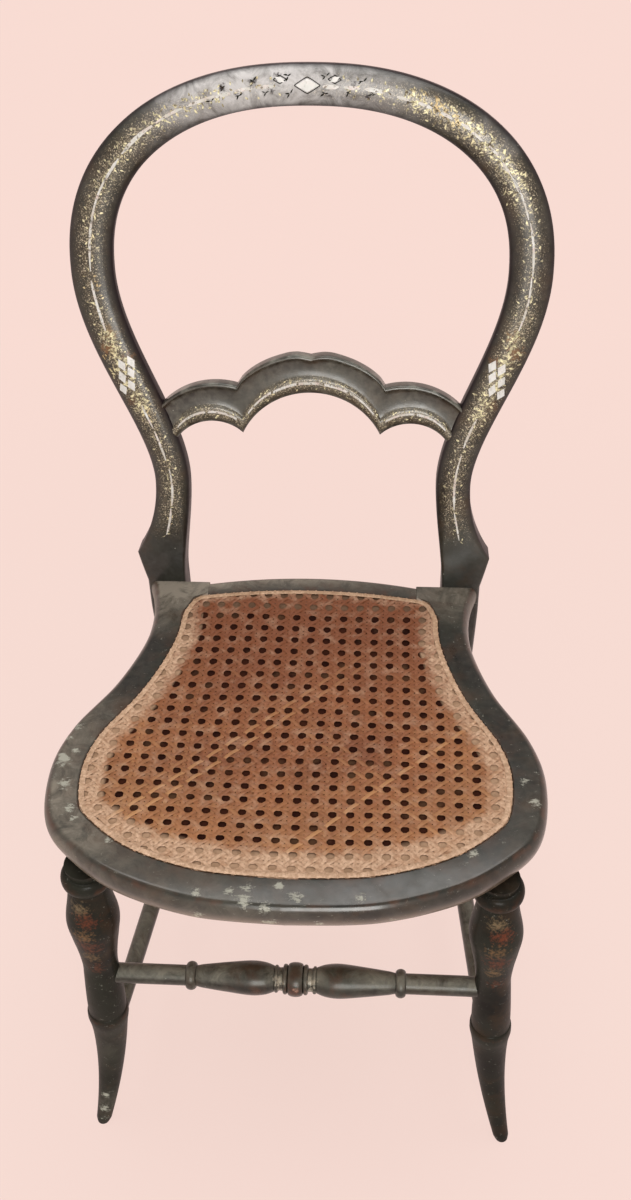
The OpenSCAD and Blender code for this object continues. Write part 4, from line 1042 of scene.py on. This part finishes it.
def cane_binder():
    """The flat strip over the cane's edge, with the loops that hold it down."""
    build = Build()
    line = rounded(both_halves(cane_outline(BINDER_INSET + BINDER_WIDTH / 2)))
    ways = [unit(b - a) for a, b in zip(np.roll(line, 1, 0), np.roll(line, -1, 0))]
    sides = [np.array([-t[1], t[0]]) for t in ways]
    rings = [[np.array([*(p + n * q * BINDER_WIDTH), SEAT_HEIGHT + h - 0.1]) for q, h in BINDER_SECTION[::-1]]
             for p, n in zip(line, sides)]
    build.skin(rings, True, rim=[[rim_pale_share(p) for p in ring] for ring in rings],
               light=evenly([0.2] * len(rings), len(BINDER_SECTION)))
    for p, n, way, ring in list(zip(line, sides, ways, rings))[::2]:
        loop = []
        for a in spread(-1.15, 1.15, 6):
            centre = p + n * a * BINDER_WIDTH * LOOP_REACH
            z = SEAT_HEIGHT + 0.2 + LOOP_LIFT * math.cos(a * 1.25)
            loop.append([np.array([*(centre + way * q), z + h]) for q, h in LOOP_SECTION])
        build.skin(loop, rim=evenly([rim_pale_share(ring[-1])] * len(loop), len(LOOP_SECTION)))
    return build


# Turned work
def lathe(build, profile, place, sides=56, **values):
    """Turns a profile of radius and height; place says where a turned point goes."""
    turns = [2 * math.pi * k / sides for k in range(sides)]
    rings = [[place(radius * math.cos(a), radius * math.sin(a), height) for a in turns]
             for radius, height in profile]
    build.skin(rings, **{key: evenly([f(*q) for q in profile], sides) for key, f in values.items()})


def bead(radius, base, level, half, steps=14):
    return [[mix(base, radius, math.cos(a)), level + half * math.sin(a)]
            for a in spread(-math.pi / 2, math.pi / 2, steps)]


def leg_axis(z):
    return np.array([LEG_OUT + (UNDERSIDE - z) * math.tan(LEG_LEAN), LEG_BACK, z])


COLLAR_HEIGHT, COLLAR_HALF = UNDERSIDE - COLLAR_RADIUS * 0.75, COLLAR_RADIUS * 0.4
RING_HALF = RING_RADIUS * 0.32
FOOT_TOP = RING_HEIGHT - RING_HALF
VASE_SHARES = [[0.29, 0], [0.25, 0.108], [0.167, 0.21], [0.073, 0.3], [0.009, 0.396], [0.277, 0.517],
               [0.713, 0.638], [1, 0.753], [0.463, 0.895], [0.105, 1]]
FLARE_REACH, SOLE_ROUND, FOOT_SIDES, TOE_FROM = 9.0, 1.2, 40, 0.86


def curved_foot(build):
    """The foot below the ring: it flares into the ring and curves out and forward to the toe."""
    rings, edge = [], []
    for z in spread(0, FOOT_TOP + RING_HALF, 34):
        down = max(1 - z / FOOT_TOP, 0)
        radius, curve = mix(FOOT_RADIUS, TOE_RADIUS, down), down ** FOOT_POWER
        radius += (RING_RADIUS - FOOT_RADIUS) * math.exp(-max(FOOT_TOP - z, 0) / FLARE_REACH)
        if z == 0:
            radius -= SOLE_ROUND
        centre = leg_axis(z) + [FOOT_OUT * curve, -FOOT_FORWARD * curve, 0]
        rings.append([centre + radius * np.array([math.cos(a), math.sin(a), 0])
                      for a in np.linspace(0, 2 * math.pi, FOOT_SIDES, endpoint=False)])
        edge.append(clamp_share((down - TOE_FROM) * 6))
    build.skin(rings, edge=evenly(edge, FOOT_SIDES))


def front_leg():
    build = Build()
    low, high = RING_HEIGHT + RING_HALF, COLLAR_HEIGHT - COLLAR_HALF
    vase = curve_through(
        [[mix(NECK_RADIUS, VASE_RADIUS, full), mix(low, high, up)] for full, up in VASE_SHARES], 8)
    profile = [[0.5, FOOT_TOP - 1], [FOOT_RADIUS, FOOT_TOP - 1]]
    profile += bead(RING_RADIUS, vase[0][0], RING_HEIGHT, RING_HALF) + [list(p) for p in vase[1:-1]]
    profile += bead(COLLAR_RADIUS, vase[-1][0], COLLAR_HEIGHT, COLLAR_HALF)
    profile += [[COLLAR_RADIUS * 0.8, UNDERSIDE - 0.1], [0.5, UNDERSIDE - 0.1]]

    def worn(radius, z):
        near = max(1 - abs(z - RING_HEIGHT) / RING_HALF, 1 - abs(z - COLLAR_HEIGHT) / COLLAR_HALF)
        return clamp_share(near) * 0.9

    lathe(build, profile, lambda x, y, z: leg_axis(z) + [x, y, 0], edge=worn)
    curved_foot(build)
    return build


def between(start, end):
    """A place function along a line, for turned bars."""
    run = unit(end - start)
    side = unit(np.cross(run, [0, 0, 1]))
    up = np.cross(side, run)
    return lambda x, y, z: start + side * x - up * y + run * z


def front_stretcher():
    build = Build()
    span = leg_axis(FRONT_STRETCHER_HEIGHT)[0]
    body = span - NECK_RADIUS + STRETCHER_SEAT
    neck, swell = STRETCHER_NECK_RADIUS, STRETCHER_SWELL_RADIUS
    half = [[mix(neck + 2.4, swell, math.cos(a)), 0.038 * span * math.sin(a)]
            for a in spread(0, math.pi / 2, 8)]
    half += bead(neck + 3.2, neck + 1.2, 0.052 * span, 0.012 * span, 8)
    half += [[neck, 0.066 * span], [neck - 0.2, 0.082 * span]]
    half += bead(neck + 2.0, neck + 0.6, 0.098 * span, 0.009 * span, 8)
    half += [list(p) for p in curve_through([
        [neck + 1.2, NECK_SHARE * span + 1.0],
        [mix(neck, swell, 0.80), mix(NECK_SHARE, SWELL_SHARE, 0.42) * span], [swell, SWELL_SHARE * span],
        [mix(neck, swell, 0.55), mix(SWELL_SHARE, SHOULDER_SHARE, 0.5) * span],
        [neck, SHOULDER_SHARE * span]], 10)]
    half += bead(STRETCHER_RING_RADIUS, STRETCHER_END_RADIUS, STRETCHER_RING_SHARE * span,
                 STRETCHER_RING_RADIUS * 0.75 / 2, 12)
    half += [[STRETCHER_END_RADIUS, body], [0.4, body]]
    profile = [[r, -t] for r, t in reversed(half)] + half[1:]
    middle = np.array([0.0, LEG_BACK, FRONT_STRETCHER_HEIGHT])
    lathe(build, profile, between(middle, middle + [1, 0, 0]), 48,
          edge=lambda r, z: clamp_share((r - 12.4) / 3) * 0.8)
    return build


def rear_axis(z):
    s = z - SEAT_HEIGHT
    return np.array([UPRIGHT_IN + leg_face(s) / 2, face_y(s) + leg_depth(s) / 2, z])


def plain_bar(start, end, radius):
    """A plain stretcher, a little fuller in the middle of its length."""
    length = np.linalg.norm(end - start)
    build = Build()
    profile = [[0.4, 0]] + [[radius * (1 - 0.10 * (2 * u - 1) ** 4), length * u] for u in spread(0, 1, 24)]
    lathe(build, profile + [[0.4, length]], between(start, end), 36, edge=lambda r, z: 0.25)
    return build


def side_stretcher():
    start, end = leg_axis(SIDE_STRETCHER_FRONT), rear_axis(SIDE_STRETCHER_REAR)
    run = unit(end - start)
    down = 1 - SIDE_STRETCHER_FRONT / FOOT_TOP
    body = mix(FOOT_RADIUS, TOE_RADIUS, down) - FOOT_FORWARD * down ** FOOT_POWER - STRETCHER_SEAT
    return plain_bar(start + run * body,
                     end - run * (REAR_FOOT_THICKNESS / 2 - STRETCHER_SEAT), SIDE_STRETCHER_RADIUS)


def rear_stretcher():
    middle = rear_axis(REAR_STRETCHER_HEIGHT)
    out = UPRIGHT_IN + STRETCHER_SEAT
    return plain_bar(np.array([-out, *middle[1:]]), np.array([out, *middle[1:]]), REAR_STRETCHER_RADIUS)


# Inlay and gilding, each given its lift above the wood and its thickness
PEARL, GOLD, PAINT = (0.05, 0.3), (0.04, 0.08), (0.03, 0.04)
OUTLINE_WIDTH = 0.85
BOX_FACES = ((0, 1, 2, 3), (7, 6, 5, 4), (0, 4, 5, 1), (2, 6, 7, 3), (1, 5, 6, 2), (3, 7, 4, 0))
LEAF_SHARES = [(0, 0), (0.25, 0.42), (0.55, 0.5), (0.85, 0.25),
               (1, 0), (0.85, -0.25), (0.55, -0.5), (0.25, -0.42)]


def plate(build, outline, point, layer):
    """A thin plate whose outline, in the surface's own two measures, follows that surface."""
    lift, thickness = layer
    n, middle = len(outline), np.mean(np.array(outline), axis=0)
    points = [point(a, b, height) for height in (lift + thickness, lift) for a, b in outline]
    points += [point(*middle, lift + thickness), point(*middle, lift)]
    faces = [[i, (i + 1) % n, 2 * n] for i in range(n)]
    faces += [[n + (i + 1) % n, n + i, 2 * n + 1] for i in range(n)]
    faces += [[n + i, n + (i + 1) % n, (i + 1) % n, i] for i in range(n)]
    build.add(points, faces)


def on_hoop(v0, sign=1):
    """Turns millimetres along and across the hoop, near path value v0, into points of its face."""
    speed = hoop_speed(v0)
    return lambda along, across, lift: hoop_point(v0 + along / speed, across, lift) * [sign, 1, 1]


def slip(build, v, length, width, across=0.0, sign=1, taper=0.3, bend=0.0):
    """A sliver of shell with tapered, slightly ragged ends."""
    point, n = on_hoop(v, sign), max(int(length / 3), 4)
    lower, upper = [], []
    for u in spread(0, 1, n):
        half = width / 2 * mix(taper, 1, clamp_share(min(u, 1 - u) * 4)) * random.uniform(0.82, 1.12)
        along, mid = (u - 0.5) * length, across + bend * math.sin(math.pi * u)
        lower.append((along, mid - half))
        upper.append((along, mid + half))
    for quad in zip(lower, lower[1:], upper[1:], upper):
        build.add([point(a, b, PEARL[0] + height) for height in (PEARL[1], 0) for a, b in quad], BOX_FACES)


def turned(points, angle, along=0.0, across=0.0):
    c, s = math.cos(angle), math.sin(angle)
    return [(along + a * c - b * s, across + a * s + b * c) for a, b in points]


def diamond(length, width):
    return [(length / 2, 0), (0, width / 2), (-length / 2, 0), (0, -width / 2)]


def lozenge(build, v, across, length, width, sign=1, turn=0.0):
    plate(build, turned(diamond(length, width), turn, across=across), on_hoop(v, sign), PEARL)


def leaf(build, point, along, across, length, width, turn):
    """A gilt or painted leaf: pointed at both ends, turned from the way along."""
    outline = [(a * length, b * width) for a, b in LEAF_SHARES]
    plate(build, turned(outline, turn, along, across), point, GOLD)


def vine(build, first, last, sign, dense, spacing=11.0):
    """Pairs of gilt leaflets along both sides of the pearl line, and sprays where it is dense."""
    v = first
    while v < last:
        point, full = on_hoop(v, sign), dense(v)
        for side in (-1, 1):
            if random.random() < 0.9:
                b = side * random.uniform(5.0, 7.0)
                leaf(build, point, random.uniform(-1.5, 1.5), b, random.uniform(2.4, 3.6),
                     random.uniform(1.2, 1.9), side * random.uniform(0.7, 1.5))
            for _ in range(int(full * 11 + random.random() * (0.6 + full))):
                b = side * abs(random.gauss(0, 1.8 + 2.2 * full))
                leaf(build, point, random.uniform(-6, 6), b, random.uniform(2.4, 4.6 + 1.4 * full),
                     random.uniform(1.0, 1.8 + 0.5 * full), random.uniform(0, FULL_TURN))
        v += spacing / hoop_speed(v)


def painted_line(build, v, start, end, width, pieces=6):
    """A dark painted line on the hoop, in pieces short enough to follow its curve."""
    point, way = on_hoop(v), unit(np.subtract(end, start))
    aside = np.array([-way[1], way[0]]) * width / 2
    stops = spread(np.array(start), np.array(end), pieces)
    for a, b in zip(stops, stops[1:]):
        plate(build, [a - aside, b - aside, b + aside, a + aside], point, PAINT)


# Places of wear, paint and painted sheen, as centre, radius and, where they have one, share or colour
SEAT_CHIPS = [
    ((-205, 150, 424), 11), ((-198, 122, 425), 9), ((-207, 176, 423), 8), ((-200, 190, 425), 7),
    ((-209, 132, 422), 6), ((-188, 96, 425), 8), ((-196, 160, 425), 6), ((-150, 62, 425), 6),
    ((8, 12, 424), 9), ((-32, 9, 424), 10), ((-15, 3, 421), 8), ((-70, 14, 425), 6),
    ((60, 14, 425), 6), ((150, 62, 425), 7), ((204, 118, 424), 8), ((196, 140, 425), 6),
    ((-120, 402, 425), 8), ((-85, 404, 424), 7), ((-40, 414, 424), 6), ((60, 412, 424), 6),
    ((-12, -1, 405), 10), ((28, -1, 404), 8), ((-70, 4, 405), 9), ((86, 6, 404), 8),
    ((-30, 20, 425), 7), ((-44, 16, 425), 7), ((-4, 22, 425), 6), ((-215, 140, 417), 9),
    ((-214, 165, 416), 8), ((-206, 105, 420), 7), ((-183, 84, 424), 6), ((208, 150, 421), 6)]
SEAT_DUST = [((-150, 385, 425), 80, 1.4), ((150, 385, 425), 55, 0.7), ((-195, 120, 425), 95, 0.85),
             ((-60, 12, 425), 130, 0.25), ((190, 110, 425), 80, 0.15), ((0, 410, 424), 160, 0.8),
             ((-60, 408, 425), 60, 0.8), ((-196, 200, 425), 60, 0.5), ((-165, 72, 425), 70, 0.5)]
# Whitish bloom on the crest, partly a painted sheen along its face: path value, across, radius and share.
CREST_BLOOM_AND_SHEEN = [(hoop_point(v, u, 0), radius, share) for v, u, radius, share in (
    (1.93, 0, 75, 0.50), (2.10, 0, 80, 0.58), (2.27, 0, 80, 0.34), (1.76, 0, 60, 0.14),
    (1.97, 5, 26, 0.5), (2.06, 6, 28, 0.5), (2.15, 7, 28, 0.5), (2.24, 7, 26, 0.6),
    (2.33, 7, 24, 0.6), (1.88, 7, 26, 0.3), (1.52, 9, 20, 0.22), (1.42, 9, 20, 0.25))]
HOOP_FLOWERS = [(hoop_point(v, u, 0), radius, PURPLE_BLACK) for v, u, radius in (
    (1.94, 6, 7), (1.955, -7, 5), (1.90, 3, 5), (2.06, 8, 7), (2.075, -3, 5),
    (2.12, 5, 6), (2.17, -2, 5), (2.20, 6, 6), (1.86, -5, 5))]
HOOP_FLOWERS += [(hoop_point(v, u, 0) * [side, 1, 1], radius, colour)
                 for side in (-1, 1)
                 for v, u, radius, colour in (
                     (0.66, 5, 13, (0.20, 0.095, 0.035)), (0.72, -3, 11, (0.27, 0.16, 0.06)),
                     (0.60, -9, 9, (0.17, 0.08, 0.03)), (0.42, 7, 11, (0.10, 0.05, 0.022)))]
FOOT_DUST = [((-196, 30, 30), 45, 0.5), ((-190, 60, 130), 70, 0.2)]
TOE_CHIPS = [((-199, 37, 26), 10), ((-196, 41, 46), 7), ((-200, 38, 10), 6)]
MIDDLE_FLOWERS = [((x, LEG_BACK - dy, FRONT_STRETCHER_HEIGHT + dz), radius, colour)
                  for x, dy, dz, radius, colour in (
                      (0, 14, 3, 13, (0.10, 0.03, 0.018)), (1, 14, 6, 5, (0.34, 0.20, 0.14)),
                      *((x, 7, dz, 9, (0.44, 0.39, 0.30)) for x in (-14.5, 14.5) for dz in (8, 0)))]
LEG_FLOWERS = [((side * 178 + dx, LEG_BACK - 20, z), radius, colour)
               for side in (-1, 1)
               for dx, z, radius, colour in (
                   (-3, 352, 16, (0.16, 0.115, 0.065)), (2, 338, 18, (0.12, 0.035, 0.018)),
                   (-2, 318, 17, (0.15, 0.085, 0.040)), (0, 300, 20, (0.09, 0.030, 0.016)),
                   (-2, 282, 14, (0.13, 0.080, 0.040)), (1, 262, 16, (0.07, 0.026, 0.014)))]

# The finishes
hoop_lacquer = lacquer("hoop_lacquer", gloss=0.36, dust=0.03, dust_and_sheen_places=CREST_BLOOM_AND_SHEEN, shine=0.3, coat=0.75,
                       cover=BLOOM_AND_SHEEN, edge_tone=PURPLE_BLACK, flowers=HOOP_FLOWERS, matt_rim=0.85)
rail_lacquer = lacquer("rail_lacquer", gloss=0.38, dust=0.58, coat=0.9, settled=0.35, edge_tone=GREY_RUB_AND_HIGHLIGHT)
seat_lacquer = lacquer("seat_lacquer", gloss=0.34, dust=0.10, chips=SEAT_CHIPS, dust_and_sheen_places=SEAT_DUST, shine=0.25,
                       coat=0.75, coat_rough=0.16, coat_ior=1.62, cover=SEAT_GREY)
leg_lacquer = lacquer("leg_lacquer", gloss=0.42, dust=0.02, dust_and_sheen_places=FOOT_DUST, chips=TOE_CHIPS, shine=0.04,
                      coat=0.15, settled=0.06, specked=0.12, flowers=LEG_FLOWERS)
stretcher_lacquer = lacquer("stretcher_lacquer", gloss=0.34, dust=0.25, shine=0.3, coat=0.45, cover=BAR_GREY,
                            settled=0.95, flowers=MIDDLE_FLOWERS)
shell, clean_shell = pearl_shell("pearl_shell", 0.9), pearl_shell("clean_pearl_shell", 0.25)
gilt = worn_gold("worn_gilt")
weave = split_cane("woven_cane", (0.31, 0.110, 0.038), (0.195, 0.060, 0.021))
strip = split_cane("binding_cane", (0.42, 0.27, 0.16), (0.34, 0.21, 0.12), 0.95)
beech = bare_beech("bare_beech")
shade = deep_shade("deep_shade")

# The wooden pieces
right_rail, right_leg, right_bar = side_seat_rail(), front_leg(), side_stretcher()
for piece, build, finish in (
        ("right_stile", stile(right_haze), hoop_lacquer),
        ("left_stile", stile(left_haze).mirrored(), hoop_lacquer),
        ("crest_rail", crest(), hoop_lacquer),
        ("cross_rail", cross_rail(), rail_lacquer),
        ("front_seat_rail", front_seat_rail(), seat_lacquer),
        ("right_seat_rail", right_rail, seat_lacquer),
        ("left_seat_rail", right_rail.mirrored(), seat_lacquer),
        ("rear_seat_rail", rear_seat_rail(), seat_lacquer),
        ("right_front_leg", right_leg, leg_lacquer),
        ("left_front_leg", right_leg.mirrored(), leg_lacquer),
        ("front_stretcher", front_stretcher(), stretcher_lacquer),
        ("right_side_stretcher", right_bar, stretcher_lacquer),
        ("left_side_stretcher", right_bar.mirrored(), stretcher_lacquer),
        ("rear_stretcher", rear_stretcher(), stretcher_lacquer)):
    build.make(piece + "_looks", finish, [piece], "ebonised_wood")
for name in ("crest_dowels", "seat_corner_dowels", "stile_dowels", "cane_pegs"):
    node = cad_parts[name]
    node.data.materials.clear()
    node.data.materials.append(beech)

# The cane
cane_pairs().make("cane_pairs", weave, ["cane_panel"], "woven_cane")
cane_diagonals().make("cane_diagonals", weave, (), "woven_cane")
shade_layer().make("cane_shade_layer", shade, (), "woven_cane")
cane_binder().make("cane_binder_strip", strip, ["cane_binder"], "binding_cane")

# The pearl: runs of slips as first and last path value, length, gap and width
RIGHT_SLIPS = [(-0.72, 0.30, 34, 2.5, 2.0), (0.76, 1.24, 46, 1.5, 1.9), (1.27, 1.49, 11, 7, 2.6)]
LEFT_SLIPS = [(-0.72, 0.30, 30, 3, 2.0), (0.74, 1.26, 44, 2, 2.1), (1.30, 1.49, 24, 5, 2.6)]
CREST_SLIPS = [(1.54, 1.80, 11, 8, 2.8), (1.82, 1.94, 15, 4, 3.4),
               (2.07, 2.19, 15, 4, 3.4), (2.22, 2.48, 30, 4, 2.8)]
# The diamonds on a stile, along in pitches and across in millimetres, round the middle path value
DIAMONDS, DIAMONDS_MIDDLE, DIAMOND_PITCH = (
    ((0.1, -4.9), (0, 4.7), (1.05, -0.2), (-1, 0.3), (-1.05, 9.4), (1, -9.2)), 0.53, 0.046)
# The crest's diamonds: path value, across, length and width, turn, and the outline's length and width
CREST_DIAMONDS = [(2.0, 0.5, 21.0, 10.5, 0.0, 24.0, 13.0), (2.055, 5.5, 9.0, 4.5, 0.5, 11.0, 6.5),
                  (1.945, 5.5, 9.0, 4.5, -0.5, 11.0, 6.5)]
# Clusters of small dark leaves round them: path value and across
CREST_LEAVES = [(2.035, -6), (1.965, -6), (2.035, 8), (1.965, 8), (2.09, -4), (1.91, -4),
                (2.12, 6), (1.88, 6), (2.16, -3), (1.85, -3), (2.20, 5), (2.24, -2)]


def pearl_row(runs, sign=1):
    build = Build()
    for first, last, length, gap, width in runs:
        v = first
        while v < last:
            long = length * random.uniform(0.85, 1.1)
            middle = v + long / 2 / hoop_speed(v)
            slip(build, middle, long, width * random.uniform(0.85, 1.15), random.uniform(-0.5, 0.5), sign,
                 random.uniform(0.3, 0.6), random.uniform(-0.6, 0.6))
            v += (long + gap) / hoop_speed(middle)
    return build


def stile_diamonds(sign):
    build = Build()
    for along, across in DIAMONDS:
        lozenge(build, DIAMONDS_MIDDLE + along * DIAMOND_PITCH, across, random.uniform(12.0, 14.0),
                random.uniform(7.2, 8.4), sign, random.uniform(-0.08, 0.08))
    return build


def crest_diamonds():
    build = Build()
    for v, across, length, width, turn, _, _ in CREST_DIAMONDS:
        lozenge(build, v, across, length, width, turn=turn)
    return build


def crest_paint():
    """Dark outlines round the crest's diamonds, and clusters of leaves beside them."""
    build = Build()
    for v, across, _, _, _, length, width in CREST_DIAMONDS:
        corners = turned(diamond(length, width), 0.0, across=across)
        for start, end in zip(corners, corners[1:] + corners[:1]):
            painted_line(build, v, start, end, OUTLINE_WIDTH)
    for v, across in CREST_LEAVES:
        for turn in (0.4, 2.6, 5.4):
            leaf(build, on_hoop(v), random.uniform(-1, 1), across + random.uniform(-0.6, 0.6),
                 random.uniform(2.6, 4.6), random.uniform(0.9, 1.5), turn + random.uniform(-0.5, 0.5))
    return build


def rail_slips():
    """Slips along the cross rail's lower band: five under the middle arch and two on each side."""
    build, steps = Build(), 10
    for first, last, count in ((-60, 60, 5), (69, 128, 2), (-128, -69, 2)):
        for k in range(count):
            a, b = mix(first, last, (k + 0.03) / count), mix(first, last, (k + 0.95) / count)
            half = random.uniform(1.0, 1.3)
            low, high = (random.uniform(-0.2, 0.8) for _ in range(2))
            stops = list(zip(spread(a, b, steps), spread(low, high, steps)))
            for (x0, w0), (x1, w1) in zip(stops, stops[1:]):
                corners = [(x0, w0 - half), (x1, w1 - half), (x1, w1 + half), (x0, w0 + half)]
                plate(build, corners, cross_band_point, PEARL)
    return build


def gilt_sprays():
    """Leaves along both pearl lines, thick on the crest's shoulders and by the diamonds, and on the rail."""
    def density(shoulder_to, shoulder):
        return lambda v: shoulder if 1.25 < v < shoulder_to else 0.9 if 0.36 < v < 0.76 else 0.15

    build = Build()
    vine(build, -0.7, 1.95, 1, density(1.75, 1.0))
    vine(build, -0.7, 1.95, -1, density(1.8, 0.45))
    for _ in range(90):
        x, w = random.uniform(-126, 126), random.choice((-1, 1)) * random.uniform(2.4, 5.6)
        leaf(build, cross_band_point, x, w, random.uniform(1.6, 3.4), random.uniform(0.8, 1.5),
             random.uniform(0, FULL_TURN))
    return build


pearl_row(RIGHT_SLIPS).make("right_pearl_slips", shell, ["right_pearl_line"], "pearl")
pearl_row(LEFT_SLIPS, -1).make("left_pearl_slips", shell, ["left_pearl_line"], "pearl")
pearl_row(CREST_SLIPS).make("crest_pearl_slips", shell, ["crest_pearl_line"], "pearl")
stile_diamonds(1).make("right_pearl_lozenges", clean_shell, ["right_pearl_diamonds"], "pearl")
stile_diamonds(-1).make("left_pearl_lozenges", clean_shell, ["left_pearl_diamonds"], "pearl")
crest_diamonds().make("crest_pearl_lozenges", clean_shell, ["crest_pearl_diamonds"], "pearl")
crest_paint().make("crest_painted_lines", leg_lacquer)
rail_slips().make("cross_rail_pearl_slips", shell, ["cross_rail_pearl_line"], "pearl")
gilt_sprays().make("gilt_sprays", gilt)

# Floor, surroundings and lights, in metres
BACKDROP, FLOOR_TONE, CEILING_TONE = (0.95, 0.72, 0.655), (0.90, 0.84, 0.79), (1.0, 0.88, 0.84)
FLOOR_HALF, LIT_REACH, LIT_SHARE = 7.0, 1500.0, 0.16
WALL_TOP, CEILING_FROM, CEILING_SHOWN, ROOM_LIGHT = 0.28, 0.62, 0.40, 0.22


def pale_floor(name):
    """Seen as the even backdrop, with a share of real light and shadow near the chair."""
    s = Shader(name)
    tone, lit_tone = (s.blend(s.noise(1.3, 3), colour, tuple(0.985 * c for c in colour))
                      for colour in (BACKDROP, FLOOR_TONE))
    s.set(Base_Color=lit_tone, Roughness=s.span(s.noise(30, 3), 0.3, 0.7, 0.80, 0.92), Specular_IOR_Level=0.1)
    even = s.rest(s.times(s.near((0, -cad_low.y / MM, 0), LIT_REACH), LIT_SHARE))
    both = s.node("ShaderNodeMixShader", Fac=s.times(s.seen(), even))
    s.put(both.inputs[1], s.surface.outputs[0])
    s.put(both.inputs[2], s.node("ShaderNodeEmission", Color=tone).outputs[0])
    s.put(s.tree.nodes["Material Output"].inputs["Surface"], both.outputs[0])
    return s.material


def soft_light(name, place, target, width, height, power, colour):
    lamp = bpy.data.lights.new(name, "AREA")
    lamp.shape, lamp.size, lamp.size_y, lamp.energy, lamp.color = "RECTANGLE", width, height, power, colour
    obj = bpy.data.objects.new(name, lamp)
    obj.location = place
    obj.rotation_mode = "QUATERNION"
    obj.rotation_quaternion = (Vector(target) - Vector(place)).to_track_quat("-Z", "Y")
    scene.collection.objects.link(obj)


scene = bpy.context.scene
scene.view_settings.view_transform = "Standard"
floor_mesh = bpy.data.meshes.new("floor")
floor_mesh.from_pydata([(x * FLOOR_HALF, y * FLOOR_HALF, 0) for x, y in ((-1, -1), (1, -1), (1, 1), (-1, 1))],
                       [], [(0, 1, 2, 3)])
floor_mesh.materials.append(pale_floor("pale_floor"))
floor = bpy.data.objects.new("floor", floor_mesh)
scene.collection.objects.link(floor)

# The surroundings are the backdrop's pale wall up to a height, and a dimmer ceiling above
world = bpy.data.worlds.new("soft_surroundings")
world.use_nodes = True
sky = Nodes(world.node_tree)
direction = sky.node("ShaderNodeTexCoord").outputs["Generated"]
height = sky.node("ShaderNodeSeparateXYZ", Vector=direction).outputs["Z"]
background = sky.tree.nodes["Background"].inputs
sky.put(background["Color"], sky.blend(sky.span(height, WALL_TOP, CEILING_FROM), BACKDROP, CEILING_TONE))
shown = sky.span(height, WALL_TOP, CEILING_FROM, 1.0, CEILING_SHOWN)
sky.put(background["Strength"], sky.span(sky.seen(), 0.0, 1.0, ROOM_LIGHT, shown))
scene.world = world

soft_light("window_light", (0.25, -2.6, 1.3), (0, 0, 0.75), 1.2, 1.4, 47, (1.0, 0.985, 0.97))
soft_light("overhead_light", (0.1, 0.3, 3.2), (0, 0.2, 0), 2.6, 2.6, 66, (1.0, 0.97, 0.96))

# The camera, fitted to the photograph's outlines
CAMERA_PLACE = Vector((0.07698, cad_low.y - 0.60832, 1.2769))
YAW, PITCH, ROLL, LENS, SENSOR = 0.07425, 0.71504, -0.02559, 39.15, 36.0
forward = Vector((-math.sin(YAW) * math.cos(PITCH), math.cos(YAW) * math.cos(PITCH), -math.sin(PITCH)))
level_right = Vector((math.cos(YAW), math.sin(YAW), 0))
level_up = level_right.cross(forward)
right = level_right * math.cos(ROLL) + level_up * math.sin(ROLL)
up = level_up * math.cos(ROLL) - level_right * math.sin(ROLL)
camera = bpy.data.objects.new("camera", bpy.data.cameras.new("camera"))
camera.data.lens, camera.data.sensor_width = LENS, SENSOR
camera.data.clip_start, camera.data.clip_end = 0.02, 50.0
camera.matrix_world = Matrix((
    (right.x, up.x, -forward.x, CAMERA_PLACE.x), (right.y, up.y, -forward.y, CAMERA_PLACE.y),
    (right.z, up.z, -forward.z, CAMERA_PLACE.z), (0, 0, 0, 1)))
scene.collection.objects.link(camera)
scene.camera = camera
